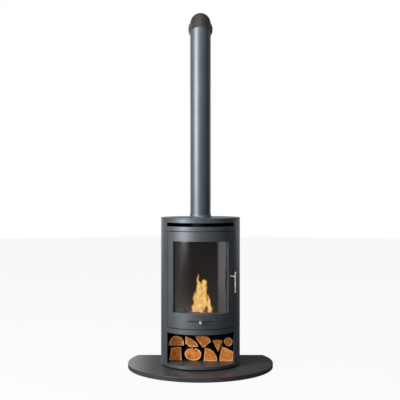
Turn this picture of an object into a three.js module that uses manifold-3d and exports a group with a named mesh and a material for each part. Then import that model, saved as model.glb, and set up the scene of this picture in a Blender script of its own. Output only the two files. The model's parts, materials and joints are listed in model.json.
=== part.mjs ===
// A round-fronted wood burning stove on a stone hearth, with a flue pipe that turns into the wall.
// Units are millimetres, +Z is up and the front faces -Y.
// The origin is on the floor, on the axis of the round body.
import * as THREE from "three";
import { mergeVertices } from "three/addons/utils/BufferGeometryUtils.js";
import Module from "manifold-3d";

const wasm = await Module();
wasm.setup();

// ---- Driving dimensions ----
const FIT_GAP = 0.3; // between pieces that touch
const SHEET = 4; // thickness of the painted steel panels
const THIN_SHEET = 3; // thickness of the inner steel

const WALL_Y = 245; // the wall that the hearth and the flue meet
const HEARTH = { radius: 454, centreY: 43, thickness: 28 };

const BODY_RADIUS = 245;
const BODY_REAR_Y = 205; // outside of the flat rear panel
const BODY_HEIGHT = 900;
const FOOT_HEIGHT = 8; // shadow gap between hearth and body
const BASE_Z = HEARTH.thickness + FOOT_HEIGHT;
const TOP_Z = BASE_Z + BODY_HEIGHT;
const TOP_PLATE = 5;
const PANEL_TOP_Z = TOP_Z - TOP_PLATE;

const JAMB_ANGLE = 56.2; // degrees from the front to the edge of a side panel
const DOOR_ANGLE = 55; // degrees from the front to the edge of the door
const REAR_ANGLE = 146.2; // where a side panel ends beside the rear panel

const STORE_FLOOR_Z = 54; // top of the log store's floor
const LOWER_BAND = { low: 243, high: 272.5 };
const DOOR = { low: 276.5, high: 855 };
const HEADER_BAND = { low: 859, high: 886 };
const TOP_BAND = { low: 908, high: PANEL_TOP_Z };

const STORE_CEILING = { low: 262, high: 265 };
const FIREBOX_FLOOR = { low: 321, high: 324.7 };
const FIREBOX_ROOF = { low: 862, high: 866 };
const BRICK_TOP_Z = 350;
const LINING_TOP_Z = 795;

const FIREBOX = { halfWidth: 186, backY: 140, frontY: -116 };
const LINING_THICKNESS = 24;
const GRATE = { halfWidth: 84.5, halfDepth: 64.5, thickness: 10 };

const WINDOW = { angle: 43, low: 369, high: 798 };
const FRAME_RADIUS = 221; // outside of the fixed sealing frame
const DOOR_DEPTH = 16; // depth of the door's folded edge

const FLUE = { radius: 63.5, wall: 2, mitreZ: 2078, turn: 70 };
const ROSETTE_RADIUS = 79;

const HINGE = { radius: 236.8, angle: -53, pin: 3.5 };
const HANDLE = { angle: 47.6, z: 586.5, standOff: 38.6, barRadius: 5.3, up: 28, down: 97 };
const SPINDLE_RADIUS = 5;
const AIR_SLOT = { z: 322.5, angle: 17.8, height: 6 };

const ARC_STEP = 5; // degrees between the points of an arc

// ---- Small tools ----
const group = new THREE.Group();
const radians = THREE.MathUtils.degToRad;
const degreesOf = THREE.MathUtils.radToDeg;

// A point on a circle about the body's axis, by degrees from the front towards +X.
function onArc(radius, degrees) {
  return new THREE.Vector2(radius * Math.sin(radians(degrees)), -radius * Math.cos(radians(degrees)));
}

function arc(radius, from, to, step = ARC_STEP) {
  const count = Math.max(1, Math.round(Math.abs(to - from) / step));
  return Array.from({ length: count + 1 }, (_, i) => onArc(radius, from + ((to - from) * i) / count));
}

// A flat outline in plan, drawn upwards from one height to another.
function plate(outline, low, high) {
  const shape = new THREE.Shape(outline);
  const geometry = new THREE.ExtrudeGeometry(shape, { depth: high - low, bevelEnabled: false });
  return geometry.translate(0, 0, low);
}

function box(x0, x1, y0, y1, z0, z1) {
  const geometry = new THREE.BoxGeometry(x1 - x0, y1 - y0, z1 - z0);
  return geometry.translate((x0 + x1) / 2, (y0 + y1) / 2, (z0 + z1) / 2);
}

// A sheet rolled about the body's axis.
function curvedPlate(inner, outer, from, to, low, high) {
  return plate([...arc(outer, from, to), ...arc(inner, to, from)], low, high);
}

// A cylinder whose axis runs from one height to another.
function upright(radius, low, high, x = 0, y = 0, sides = 32) {
  const geometry = new THREE.CylinderGeometry(radius, radius, high - low, sides);
  return geometry.rotateX(Math.PI / 2).translate(x, y, (low + high) / 2);
}

// A cylinder that points away from the body's axis, between two distances from it.
function radial(radius, near, far, degrees, z, sides = 24) {
  const geometry = new THREE.CylinderGeometry(radius, radius, far - near, sides);
  geometry.translate(0, (near + far) / 2, 0).rotateZ(Math.PI);
  return geometry.rotateZ(radians(degrees)).translate(0, 0, z);
}

function solid(geometry) {
  const bare = geometry.clone();
  bare.deleteAttribute("normal");
  bare.deleteAttribute("uv");
  const merged = mergeVertices(bare, 1e-4);
  return new wasm.Manifold(
    new wasm.Mesh({
      numProp: 3,
      vertProperties: merged.attributes.position.array,
      triVerts: new Uint32Array(merged.index.array),
    }),
  );
}

function geometryOf(manifold) {
  const mesh = manifold.getMesh();
  const geometry = new THREE.BufferGeometry();
  geometry.setAttribute("position", new THREE.BufferAttribute(mesh.vertProperties, 3));
  geometry.setIndex(new THREE.BufferAttribute(mesh.triVerts, 1));
  geometry.computeVertexNormals();
  return geometry;
}

function cut(base, ...tools) {
  return geometryOf(tools.reduce((left, tool) => left.subtract(solid(tool)), solid(base)));
}

function join(base, ...parts) {
  return geometryOf(parts.reduce((left, part) => left.add(solid(part)), solid(base)));
}

function common(a, b) {
  return geometryOf(solid(a).intersect(solid(b)));
}

// ---- Finishes ----
const finish = (color, roughness, metalness) => ({ color, roughness, metalness });
const PAINT = finish(0x4a5055, 0.42, 0.6);
const INNER_STEEL = finish(0x2a2a2b, 0.6, 0.5);
const STONE = finish(0x3b3b3d, 0.3, 0);
const FIREBRICK = finish(0x3a3230, 0.95, 0);
const CAST_IRON = finish(0x262626, 0.7, 0.6);
const BRIGHT_STEEL = finish(0xc4c4c0, 0.25, 1);
const GLASS = finish(0x222222, 0.05, 0);
const ROPE = finish(0x4d4b47, 0.95, 0);
const WOOD = finish(0xb9793a, 0.85, 0);
const CHARRED_WOOD = finish(0x1c1613, 0.95, 0);

function add(name, geometry, look) {
  const mesh = new THREE.Mesh(geometry, new THREE.MeshStandardMaterial(look));
  mesh.name = name;
  group.add(mesh);
}

// ---- Hearth and feet ----
// A disc's outline, cut off straight at the rear.
function discWithFlatRear(radius, centreY, rearY) {
  const half = 180 - degreesOf(Math.acos((rearY - centreY) / radius));
  return arc(radius, -half, half).map((p) => new THREE.Vector2(p.x, p.y + centreY));
}

const hearthOutline = discWithFlatRear(HEARTH.radius, HEARTH.centreY, WALL_Y);
add("hearth_plate", plate(hearthOutline, 0, HEARTH.thickness), STONE);

const FOOT = { circle: 185, padRadius: 22, padHeight: 7, screwRadius: 6 };
[40, 130, 230, 320].forEach((degrees, i) => {
  const low = HEARTH.thickness + FIT_GAP;
  const top = STORE_FLOOR_Z - SHEET - FIT_GAP;
  const profile = [
    [0, low],
    [FOOT.padRadius, low],
    [FOOT.padRadius - 2, low + FOOT.padHeight],
    [FOOT.screwRadius, low + FOOT.padHeight],
    [FOOT.screwRadius, top],
    [0, top],
  ];
  const place = onArc(FOOT.circle, degrees);
  const foot = new THREE.LatheGeometry(profile.map(([r, z]) => new THREE.Vector2(r, z)), 16);
  add(`levelling_foot_${i + 1}`, foot.rotateX(Math.PI / 2).translate(place.x, place.y, 0), CAST_IRON);
});

// ---- Casing ----
const INNER_RADIUS = BODY_RADIUS - SHEET;
const INSIDE = INNER_RADIUS - FIT_GAP; // radius that fits inside the casing
const INSIDE_REAR_Y = BODY_REAR_Y - SHEET - FIT_GAP;
const BAND_ANGLE = JAMB_ANGLE - 0.1;

// The side panels fold inwards beside the door, and every inner plate is notched around those folds.
const JAMB_DEPTH = 28;
const FOLD_ANGLE = JAMB_ANGLE + degreesOf(SHEET / BODY_RADIUS);
function clearOfFolds(base) {
  const foldReach = BODY_RADIUS - JAMB_DEPTH - 0.6;
  const notch = (from, to) => curvedPlate(foldReach, BODY_RADIUS + 2, from, to, 0, TOP_Z);
  const [near, far] = [JAMB_ANGLE - 0.15, FOLD_ANGLE + 0.3];
  return cut(base, notch(near, far), notch(-far, -near));
}

const floorDisc = discWithFlatRear(INSIDE, 0, INSIDE_REAR_Y);
const floorSheet = plate(floorDisc, STORE_FLOOR_Z - SHEET, STORE_FLOOR_Z);
// A rolled sheet that fills the front between the side panels.
function acrossFront(inner, outer, low, high) {
  return curvedPlate(inner, outer, -BAND_ANGLE, BAND_ANGLE, low, high);
}
const floorLip = acrossFront(INNER_RADIUS - 12, BODY_RADIUS, STORE_FLOOR_Z - SHEET, STORE_FLOOR_Z);
const floorFront = acrossFront(INNER_RADIUS, BODY_RADIUS, BASE_Z, STORE_FLOOR_Z);
add("base_plate", join(floorSheet, floorLip, floorFront), PAINT);

// A side panel, with the fold at its front edge that makes the door's jamb. It runs along the door only.
function sidePanel(side) {
  const outline = [
    ...arc(BODY_RADIUS, JAMB_ANGLE, REAR_ANGLE),
    ...arc(INNER_RADIUS, REAR_ANGLE, FOLD_ANGLE),
    onArc(BODY_RADIUS - JAMB_DEPTH, FOLD_ANGLE + 0.1),
    onArc(BODY_RADIUS - JAMB_DEPTH, JAMB_ANGLE),
  ];
  const turned = side > 0 ? outline : outline.map((p) => new THREE.Vector2(-p.x, p.y)).reverse();
  const ends = [side * (JAMB_ANGLE - 0.15), side * (FOLD_ANGLE + 2)].sort((a, b) => a - b);
  const foldReach = BODY_RADIUS - JAMB_DEPTH - 2;
  const noFold = (low, high) => curvedPlate(foldReach, INNER_RADIUS, ...ends, low, high);
  const whole = plate(turned, BASE_Z, PANEL_TOP_Z - FIT_GAP);
  return cut(whole, noFold(BASE_Z - 1, STORE_CEILING.low), noFold(HEADER_BAND.low, PANEL_TOP_Z + 1));
}
add("side_panel_left", sidePanel(-1), PAINT);
add("side_panel_right", sidePanel(1), PAINT);

const REAR_HALF_WIDTH = 133;
const rearInner = BODY_REAR_Y - SHEET;
const panelTop = PANEL_TOP_Z - FIT_GAP;
add("rear_panel", box(-REAR_HALF_WIDTH, REAR_HALF_WIDTH, rearInner, BODY_REAR_Y, BASE_Z, panelTop), PAINT);

const SPIGOT_RADIUS = 60;
const topDisc = plate(discWithFlatRear(BODY_RADIUS, 0, BODY_REAR_Y), PANEL_TOP_Z, TOP_Z);
add("top_plate", cut(topDisc, upright(SPIGOT_RADIUS + 1, PANEL_TOP_Z - 1, TOP_Z + 1)), PAINT);

function band(name, level) {
  const high = Math.min(level.high, PANEL_TOP_Z - FIT_GAP);
  add(name, acrossFront(INNER_RADIUS, BODY_RADIUS, level.low, high), PAINT);
}
band("top_band", TOP_BAND);
band("header_band", HEADER_BAND);
band("lower_band", LOWER_BAND);

// ---- Fixed frame behind the door ----
const ASH_DOORWAY = { angle: 34.6, low: 287.5, high: 318.3 };
const LATCH_CUTOUT = { from: 45.5, to: 54.8, low: 560, high: 628 };
const frameInner = FRAME_RADIUS - SHEET;
const frameLow = STORE_CEILING.high + FIT_GAP;
const frameHigh = FIREBOX_ROOF.low - FIT_GAP;
const FIRE_OPENING = { low: 330, high: 835 };
function throughFrame(from, to, low, high) {
  return curvedPlate(frameInner - 6, FRAME_RADIUS + 6, from, to, low, high);
}
const frontFrame = cut(
  acrossFront(frameInner, FRAME_RADIUS, frameLow, frameHigh),
  throughFrame(-WINDOW.angle, WINDOW.angle, FIRE_OPENING.low, FIRE_OPENING.high),
  throughFrame(-ASH_DOORWAY.angle, ASH_DOORWAY.angle, ASH_DOORWAY.low, ASH_DOORWAY.high),
  throughFrame(LATCH_CUTOUT.from, LATCH_CUTOUT.to, LATCH_CUTOUT.low, LATCH_CUTOUT.high),
);
add("front_frame", frontFrame, INNER_STEEL);

const ceilingDisc = plate(discWithFlatRear(INSIDE, 0, INSIDE_REAR_Y), STORE_CEILING.low, STORE_CEILING.high);
add("store_ceiling", clearOfFolds(ceilingDisc), INNER_STEEL);

// ---- Firebox ----
const shellInner = FIREBOX.halfWidth - THIN_SHEET;
const shellBack = FIREBOX.backY - THIN_SHEET;
const shellOutline = [
  [-FIREBOX.halfWidth, FIREBOX.frontY],
  [-shellInner, FIREBOX.frontY],
  [-shellInner, shellBack],
  [shellInner, shellBack],
  [shellInner, FIREBOX.frontY],
  [FIREBOX.halfWidth, FIREBOX.frontY],
  [FIREBOX.halfWidth, FIREBOX.backY],
  [-FIREBOX.halfWidth, FIREBOX.backY],
].map(([x, y]) => new THREE.Vector2(x, y));
add("firebox_shell", plate(shellOutline, frameLow, frameHigh), INNER_STEEL);

// A plate bounded by an arc at the front and by straight sides and back.
function archedPlate(radius, halfWidth, backY, low, high) {
  const half = degreesOf(Math.asin(halfWidth / radius));
  const back = [new THREE.Vector2(halfWidth, backY), new THREE.Vector2(-halfWidth, backY)];
  return plate([...arc(radius, -half, half), ...back], low, high);
}

const floorHalf = shellInner - FIT_GAP * 2;
const floorBack = shellBack - FIT_GAP;
const ashHole = box(-75, 75, -55, 55, FIREBOX_FLOOR.low - 1, FIREBOX_FLOOR.high + 1);
const floorFrontRadius = frameInner - FIT_GAP;
const floorPlate = archedPlate(floorFrontRadius, floorHalf, floorBack, FIREBOX_FLOOR.low, FIREBOX_FLOOR.high);
add("firebox_floor", cut(floorPlate, ashHole), INNER_STEEL);

const roofPlate = clearOfFolds(
  archedPlate(INSIDE, FIREBOX.halfWidth, FIREBOX.backY, FIREBOX_ROOF.low, FIREBOX_ROOF.high),
);
const SPIGOT_WALL = 3;
const flueHole = upright(SPIGOT_RADIUS - SPIGOT_WALL, FIREBOX_ROOF.low - 1, FIREBOX_ROOF.high + 1);
add("firebox_roof", cut(roofPlate, flueHole), INNER_STEEL);

const liningOuter = floorHalf;
const liningInner = floorHalf - LINING_THICKNESS - 2;
const liningBackY = floorBack - LINING_THICKNESS;
const brickLow = FIREBOX_FLOOR.high + FIT_GAP;
add("lining_left", box(-liningOuter, -liningInner, -110, floorBack, brickLow, LINING_TOP_Z), FIREBRICK);
add("lining_right", box(liningInner, liningOuter, -110, floorBack, brickLow, LINING_TOP_Z), FIREBRICK);
const betweenLinings = liningInner - 0.4;
const backBrick = box(-betweenLinings, betweenLinings, liningBackY, floorBack, brickLow, LINING_TOP_Z);
add("lining_back", backBrick, FIREBRICK);

const BRICK_FRONT_Y = -150;
const well = { halfWidth: GRATE.halfWidth + 1, halfDepth: GRATE.halfDepth + 1 };
const grateWell = box(-well.halfWidth, well.halfWidth, -well.halfDepth, well.halfDepth, 300, 400);
function baseBrick(side) {
  const [x0, x1] = side < 0 ? [-betweenLinings, -FIT_GAP] : [FIT_GAP, betweenLinings];
  const block = box(x0, x1, BRICK_FRONT_Y, liningBackY - 0.4, brickLow, BRICK_TOP_Z);
  return cut(common(block, upright(frameInner - 2, brickLow - 1, BRICK_TOP_Z + 1, 0, 0, 72)), grateWell);
}
add("base_brick_left", baseBrick(-1), FIREBRICK);
add("base_brick_right", baseBrick(1), FIREBRICK);

const BAFFLE = { frontY: -60, thickness: 22.7 };
const baffleLow = LINING_TOP_Z + FIT_GAP;
const baffleHigh = baffleLow + BAFFLE.thickness;
add("baffle", box(-liningOuter, liningOuter, BAFFLE.frontY, floorBack, baffleLow, baffleHigh), FIREBRICK);

// The grate is a casting with parallel slots.
function grate() {
  const slots = 9;
  const pitch = 16;
  const slotReach = GRATE.halfDepth - 12;
  const top = brickLow + GRATE.thickness;
  const slot = (x) => box(x - 4, x + 4, -slotReach, slotReach, brickLow - 1, top + 1);
  const centres = Array.from({ length: slots }, (_, i) => (i - (slots - 1) / 2) * pitch);
  const blank = box(-GRATE.halfWidth, GRATE.halfWidth, -GRATE.halfDepth, GRATE.halfDepth, brickLow, top);
  return cut(blank, ...centres.map(slot));
}
add("grate", grate(), CAST_IRON);

const GUARD = { halfWidth: 125, front: -159, back: -153, top: 358 };
const guardBar = box(-GUARD.halfWidth, GUARD.halfWidth, GUARD.front, GUARD.back, brickLow, GUARD.top);
add("log_guard", guardBar, CAST_IRON);

// ---- Ash pan and its shelf ----
const PAN = { halfWidth: 118, front: -178, back: 80, low: 288.7, high: 316.5, wall: 2.5 };
const panOuter = box(-PAN.halfWidth, PAN.halfWidth, PAN.front, PAN.back, PAN.low, PAN.high);
const panHollow = box(
  -PAN.halfWidth + PAN.wall,
  PAN.halfWidth - PAN.wall,
  PAN.front + PAN.wall,
  PAN.back - PAN.wall,
  PAN.low + PAN.wall,
  PAN.high + 10,
);
const panGrip = box(-22, 22, PAN.front - 9, PAN.front + 1, PAN.high - 9, PAN.high - 6);
add("ash_pan", join(cut(panOuter, panHollow), panGrip), INNER_STEEL);

const SHELF = { halfWidth: 112, front: -165, back: 125, leg: 16 };
const shelfBottom = STORE_CEILING.high + FIT_GAP;
const shelfTop = PAN.low - FIT_GAP;
const shelfSpan = SHELF.halfWidth - SHELF.leg;
const shelf = cut(
  box(-SHELF.halfWidth, SHELF.halfWidth, SHELF.front, SHELF.back, shelfBottom, shelfTop),
  box(-shelfSpan, shelfSpan, SHELF.front - 1, SHELF.back + 1, shelfBottom - 1, shelfTop - 3),
);
add("ash_pan_shelf", shelf, INNER_STEEL);

// ---- Flue ----
// A tube of straight lengths with mitred joints, along a path of [y, z] points in the plane x = 0.
function mitredTube(path, outer, inner, startTangent, endTangent, sides = 40) {
  const points = path.map(([y, z]) => new THREE.Vector3(0, y, z));
  const leg = (i) => points[i + 1].clone().sub(points[i]).normalize();
  const rings = points.map((point, i) => {
    const before = i > 0 ? leg(i - 1) : leg(0);
    const after = i < points.length - 1 ? leg(i) : leg(i - 1);
    const bisector = before.clone().add(after).normalize();
    const ends = { 0: startTangent, [points.length - 1]: endTangent };
    const normal = ends[i] ?? bisector;
    const across = new THREE.Vector3(0, -normal.z, normal.y);
    across.divideScalar(Math.abs(normal.dot(after)));
    return (radius) =>
      Array.from({ length: sides }, (_, k) => {
        const a = (2 * Math.PI * k) / sides;
        return point
          .clone()
          .add(new THREE.Vector3(radius * Math.cos(a), 0, 0))
          .addScaledVector(across, radius * Math.sin(a));
      });
  });
  const walls = [...rings.map((ring) => ring(outer)), ...rings.map((ring) => ring(inner)).reverse()];
  const positions = walls.flat().flatMap((p) => [p.x, p.y, p.z]);
  const index = [];
  walls.forEach((_, w) => {
    const next = (w + 1) % walls.length;
    for (let k = 0; k < sides; k += 1) {
      const k2 = (k + 1) % sides;
      const [a, b, c, d] = [w * sides + k, w * sides + k2, next * sides + k2, next * sides + k];
      index.push(a, c, b, a, d, c);
    }
  });
  const geometry = new THREE.BufferGeometry();
  geometry.setAttribute("position", new THREE.Float32BufferAttribute(positions, 3));
  geometry.setIndex(index);
  geometry.computeVertexNormals();
  return geometry;
}

const flueInner = FLUE.radius - FLUE.wall;
const flueFootZ = TOP_Z + 1;
const elbowZ = FLUE.mitreZ + FLUE.turn;
const mitre = new THREE.Vector3(0, Math.sin(radians(22.5)), Math.cos(radians(22.5)));
const pipePath = [
  [0, flueFootZ],
  [0, FLUE.mitreZ],
];
add("flue_pipe", mitredTube(pipePath, FLUE.radius, flueInner, undefined, mitre), PAINT);

const elbowPath = [
  [0.3, FLUE.mitreZ + 0.3],
  [FLUE.turn, elbowZ],
  [WALL_Y, elbowZ],
];
add("flue_elbow", mitredTube(elbowPath, FLUE.radius, flueInner, mitre, undefined), PAINT);

const spigotProfile = [
  [SPIGOT_RADIUS - SPIGOT_WALL, FIREBOX_ROOF.high + FIT_GAP],
  [SPIGOT_RADIUS, FIREBOX_ROOF.high + FIT_GAP],
  [SPIGOT_RADIUS, TOP_Z + 40],
  [SPIGOT_RADIUS - SPIGOT_WALL, TOP_Z + 40],
];
function turned(profile, sides = 40) {
  const closed = [...profile, profile[0]].map(([r, z]) => new THREE.Vector2(r, z));
  return new THREE.LatheGeometry(closed, sides).rotateX(Math.PI / 2);
}
add("flue_spigot", turned(spigotProfile), INNER_STEEL);

// The collar flares down to the top plate in a hollow curve.
const COLLAR = { footRadius: 75, height: 19, bore: FLUE.radius + 0.5 };
const collarCurve = Array.from({ length: 5 }, (_, i) => {
  const a = radians((i * 90) / 4);
  const reach = COLLAR.footRadius - COLLAR.bore - 1.5;
  return [COLLAR.bore + 1.5 + reach * (1 - Math.sin(a)), TOP_Z + 2 + (COLLAR.height - 2) * (1 - Math.cos(a))];
});
const collarProfile = [
  [COLLAR.bore, TOP_Z + FIT_GAP],
  [COLLAR.footRadius, TOP_Z + FIT_GAP],
  ...collarCurve,
  [COLLAR.bore, TOP_Z + COLLAR.height],
];
add("flue_collar", turned(collarProfile), PAINT);

const rosetteProfile = [
  [FLUE.radius + 0.5, 0],
  [ROSETTE_RADIUS, 0],
  [ROSETTE_RADIUS, 5],
  [ROSETTE_RADIUS - 3, 9],
  [FLUE.radius + 0.5, 9],
];
const rosette = turned(rosetteProfile).rotateX(Math.PI / 2).translate(0, WALL_Y, elbowZ);
add("wall_rosette", rosette, PAINT);

// ---- Door ----
const skinInner = BODY_RADIUS - SHEET;
const doorInner = BODY_RADIUS - DOOR_DEPTH;
const foldDegrees = degreesOf(SHEET / BODY_RADIUS);
const hingePoint = onArc(HINGE.radius, HINGE.angle);
const pinHole = (low, high) => upright(HINGE.pin + FIT_GAP, low, high, hingePoint.x, hingePoint.y, 20);

const doorBlock = curvedPlate(doorInner, BODY_RADIUS, -DOOR_ANGLE, DOOR_ANGLE, DOOR.low, DOOR.high);
const doorHollow = curvedPlate(
  doorInner - 5,
  skinInner,
  -DOOR_ANGLE + foldDegrees,
  DOOR_ANGLE - foldDegrees,
  DOOR.low + SHEET,
  DOOR.high - SHEET,
);
// A cutter through a rolled sheet, as wide on both sides of the front.
function opening(inner, outer, halfAngle, low, high) {
  return curvedPlate(inner - 3, outer + 3, -halfAngle, halfAngle, low, high);
}
const doorWindow = opening(skinInner, BODY_RADIUS, WINDOW.angle, WINDOW.low, WINDOW.high);
const slotLow = AIR_SLOT.z - AIR_SLOT.height / 2;
const airSlot = opening(skinInner, BODY_RADIUS, AIR_SLOT.angle, slotLow, slotLow + AIR_SLOT.height);
const LUG_HEIGHT = 18;
function hingeLug(low) {
  const [from, to] = [HINGE.angle - 1.3, HINGE.angle + 1.6];
  return curvedPlate(doorInner + 1, skinInner + 1, from, to, low, low + LUG_HEIGHT);
}
const spindleHole = radial(SPINDLE_RADIUS + FIT_GAP, 200, 260, HANDLE.angle, HANDLE.z);
const doorFrame = cut(
  join(
    cut(doorBlock, doorHollow, doorWindow, airSlot),
    hingeLug(DOOR.low + SHEET - 1),
    hingeLug(DOOR.high - SHEET - LUG_HEIGHT + 1),
  ),
  pinHole(DOOR.low - 1, DOOR.high + 1),
  spindleHole,
);
add("door_frame", doorFrame, PAINT);

// A flat ring that follows the window's edge, rolled about the body's axis.
function windowRing(inner, outer, edge, width) {
  const degrees = degreesOf(width / inner);
  const reach = edge.angle + degrees;
  return cut(
    curvedPlate(inner, outer, -reach, reach, edge.low - width, edge.high + width),
    opening(inner, outer, edge.angle, edge.low, edge.high),
  );
}
const GLASS_OUTER = 236;
const GLASS_THICKNESS = 4;
const glassInner = GLASS_OUTER - GLASS_THICKNESS;
add("glass_gasket", windowRing(GLASS_OUTER + FIT_GAP, skinInner - FIT_GAP, WINDOW, 9), ROPE);
const glassReach = WINDOW.angle + 2.6;
const pane = { low: WINDOW.low - 11, high: WINDOW.high + 11 };
add("door_glass", curvedPlate(glassInner, GLASS_OUTER, -glassReach, glassReach, pane.low, pane.high), GLASS);

// The liner clamps the glass from behind and closes the door's back.
const LINER = { inner: 225.3, outer: 228.7 };
const linerSpan = [-DOOR_ANGLE, DOOR_ANGLE];
const linerBlock = curvedPlate(LINER.inner, LINER.outer, ...linerSpan, DOOR.low + 1, DOOR.high - 1);
const linerWindow = opening(LINER.inner, LINER.outer, WINDOW.angle, WINDOW.low, WINDOW.high);
const clampRing = windowRing(LINER.outer - 1, glassInner - FIT_GAP, WINDOW, 7);
const liner = join(cut(linerBlock, linerWindow), clampRing);
add("door_liner", cut(liner, pinHole(DOOR.low - 1, DOOR.high + 1), spindleHole), INNER_STEEL);

const ROPE_EDGE = { angle: 43.6, low: 286.3, high: 843 };
const doorRope = windowRing(FRAME_RADIUS + 0.5, LINER.inner - FIT_GAP, ROPE_EDGE, 6.5);
add("door_gasket", doorRope, ROPE);

// ---- Hinges ----
const hingePin = (low, high) => upright(HINGE.pin, low, high, hingePoint.x, hingePoint.y, 16);
add("hinge_pin_top", hingePin(DOOR.high - 18, FIREBOX_ROOF.low - 0.6), BRIGHT_STEEL);
add("hinge_pin_bottom", hingePin(LOWER_BAND.high - 3.4, DOOR.low + 18), BRIGHT_STEEL);
const bracket = (low, high) => {
  const leaf = curvedPlate(FRAME_RADIUS + FIT_GAP, INSIDE, -55.8, -50, low, high);
  return cut(leaf, pinHole(low - 1, high + 1));
};
add("hinge_bracket_top", bracket(HEADER_BAND.low - 0.5, FIREBOX_ROOF.low - FIT_GAP), INNER_STEEL);
add("hinge_bracket_bottom", bracket(LOWER_BAND.high - 4, LOWER_BAND.high), INNER_STEEL);

// ---- Handle and latch ----
const BUSH = { radius: 9, height: 2 };
const barDistance = BODY_RADIUS + HANDLE.standOff;
const barPlace = onArc(barDistance, HANDLE.angle);
const barLow = HANDLE.z - HANDLE.down;
const barHigh = HANDLE.z + HANDLE.up;
function bar(radius, margin) {
  return upright(radius, barLow - margin, barHigh + margin, barPlace.x, barPlace.y, 20);
}
add("handle_bar", bar(HANDLE.barRadius, 0), BRIGHT_STEEL);

const LATCH = { near: 207.5, far: 212.5, reach: 22, halfWidth: 6.5 };
const spindleRod = radial(SPINDLE_RADIUS, LATCH.near - 8, barDistance - 1, HANDLE.angle, HANDLE.z);
add("handle_spindle", cut(spindleRod, bar(HANDLE.barRadius + FIT_GAP, 1)), BRIGHT_STEEL);

const bush = cut(
  radial(BUSH.radius, BODY_RADIUS - 4, BODY_RADIUS + BUSH.height, HANDLE.angle, HANDLE.z, 28),
  upright(BODY_RADIUS + FIT_GAP, HANDLE.z - 30, HANDLE.z + 30, 0, 0, 72),
  spindleHole,
);
add("handle_bush", bush, PAINT);

// The tongue lies behind the frame, beside the keeper, and turns up with the handle.
function tongue() {
  const length = LATCH.reach + LATCH.halfWidth;
  const blade = new THREE.BoxGeometry(length, LATCH.far - LATCH.near, LATCH.halfWidth * 2);
  blade.translate(length / 2 - LATCH.halfWidth, -(LATCH.near + LATCH.far) / 2, 0);
  blade.rotateZ(radians(HANDLE.angle)).translate(0, 0, HANDLE.z);
  return cut(blade, spindleHole);
}
add("latch_tongue", tongue(), CAST_IRON);

const keeperSlot = { near: LATCH.near - 0.7, far: LATCH.far + 0.7, to: 55.4 };
const keeper = cut(
  curvedPlate(204, frameInner - FIT_GAP, 54.3, BAND_ANGLE - 0.1, HANDLE.z - 16, HANDLE.z + 16),
  curvedPlate(keeperSlot.near, keeperSlot.far, 53.5, keeperSlot.to, HANDLE.z - 7.5, HANDLE.z + 20),
);
add("latch_keeper", keeper, CAST_IRON);

// ---- Air control ----
// The slider's ports pass the slot in the door as the knob moves it to one side.
const SLIDER = { inner: 236.4, outer: 239.4, angle: 24, halfHeight: 14 };
const sliderPlate = curvedPlate(
  SLIDER.inner,
  SLIDER.outer,
  -SLIDER.angle,
  SLIDER.angle,
  AIR_SLOT.z - SLIDER.halfHeight,
  AIR_SLOT.z + SLIDER.halfHeight,
);
const port = (angle) =>
  curvedPlate(SLIDER.inner - 3, SLIDER.outer + 3, angle - 2.5, angle + 2.5, AIR_SLOT.z - 2, AIR_SLOT.z + 2);
add("air_slider", cut(sliderPlate, port(-17), port(-10), port(10), port(17)), INNER_STEEL);

const KNOB = { stem: 2.4, near: 254, far: 282, radius: 9 };
const knobProfile = [
  [0, SLIDER.outer + FIT_GAP],
  [KNOB.stem, SLIDER.outer + FIT_GAP],
  [KNOB.stem, KNOB.near],
  [KNOB.radius - 2.5, KNOB.near],
  [KNOB.radius, KNOB.far - 3],
  [KNOB.radius - 2, KNOB.far],
  [0, KNOB.far],
].map(([r, h]) => new THREE.Vector2(r, h));
const knob = new THREE.LatheGeometry(knobProfile, 20).rotateZ(Math.PI);
add("air_knob", knob.translate(0, 0, AIR_SLOT.z), BRIGHT_STEEL);

// ---- Firewood ----
// A log is an outline in the x-z plane that runs from front to back.
function log(outline, frontY, backY) {
  const shape = new THREE.Shape(outline.map(([x, z]) => new THREE.Vector2(x, z)));
  const geometry = new THREE.ExtrudeGeometry(shape, { depth: backY - frontY, bevelEnabled: false });
  return geometry.rotateX(Math.PI / 2).translate(0, backY, 0);
}

// Points along part of an ellipse, by degrees anticlockwise from +X.
function bow(x, z, halfWidth, halfHeight, from, to, step = 22) {
  const count = Math.round((to - from) / step);
  return Array.from({ length: count + 1 }, (_, i) => {
    const a = radians(from + ((to - from) * i) / count);
    return [x + halfWidth * Math.cos(a), z + halfHeight * Math.sin(a)];
  });
}
// A log split along two faces that meet at a tip.
const wedge = (x, z, radius, from, to) => [[x, z], ...bow(x, z, radius, radius, from, to)];

const ground = STORE_FLOOR_Z + 0.4;
const WIDE_WEDGE = [[14, 132], [66, 172], [61, 190], [42, 203], [16, 208], [-14, 210], [-36, 205]];
const LOGS = [
  { front: -52, back: 118, outline: [[-197, ground], [-115, ground], [-119, 134], [-140, 143], [-180, 132]] },
  { front: -72, back: 165, outline: bow(-46, ground + 41, 54, 41, 0, 338) },
  { front: -80, back: 158, outline: wedge(19, ground, 86, 0, 85) },
  { front: -84, back: 120, outline: [[114, ground], [200, ground], [200, 115], [162, 136], [132, 144]] },
  { front: -58, back: 118, outline: bow(-148, 147, 50, 63, 0, 180) },
  { front: -76, back: 150, outline: [[-92, 158], [-62, 139], [-8, 140], [-24, 172], [-60, 196], [-94, 210]] },
  { front: -66, back: 160, outline: WIDE_WEDGE },
  { front: -70, back: 150, outline: wedge(107, 110, 77, 67, 116) },
  { front: -62, back: 122, outline: bow(171, 170.5, 29, 29, 0, 338) },
];
LOGS.forEach(({ outline, front, back }, i) => add(`firewood_log_${i + 1}`, log(outline, front, back), WOOD));

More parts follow.
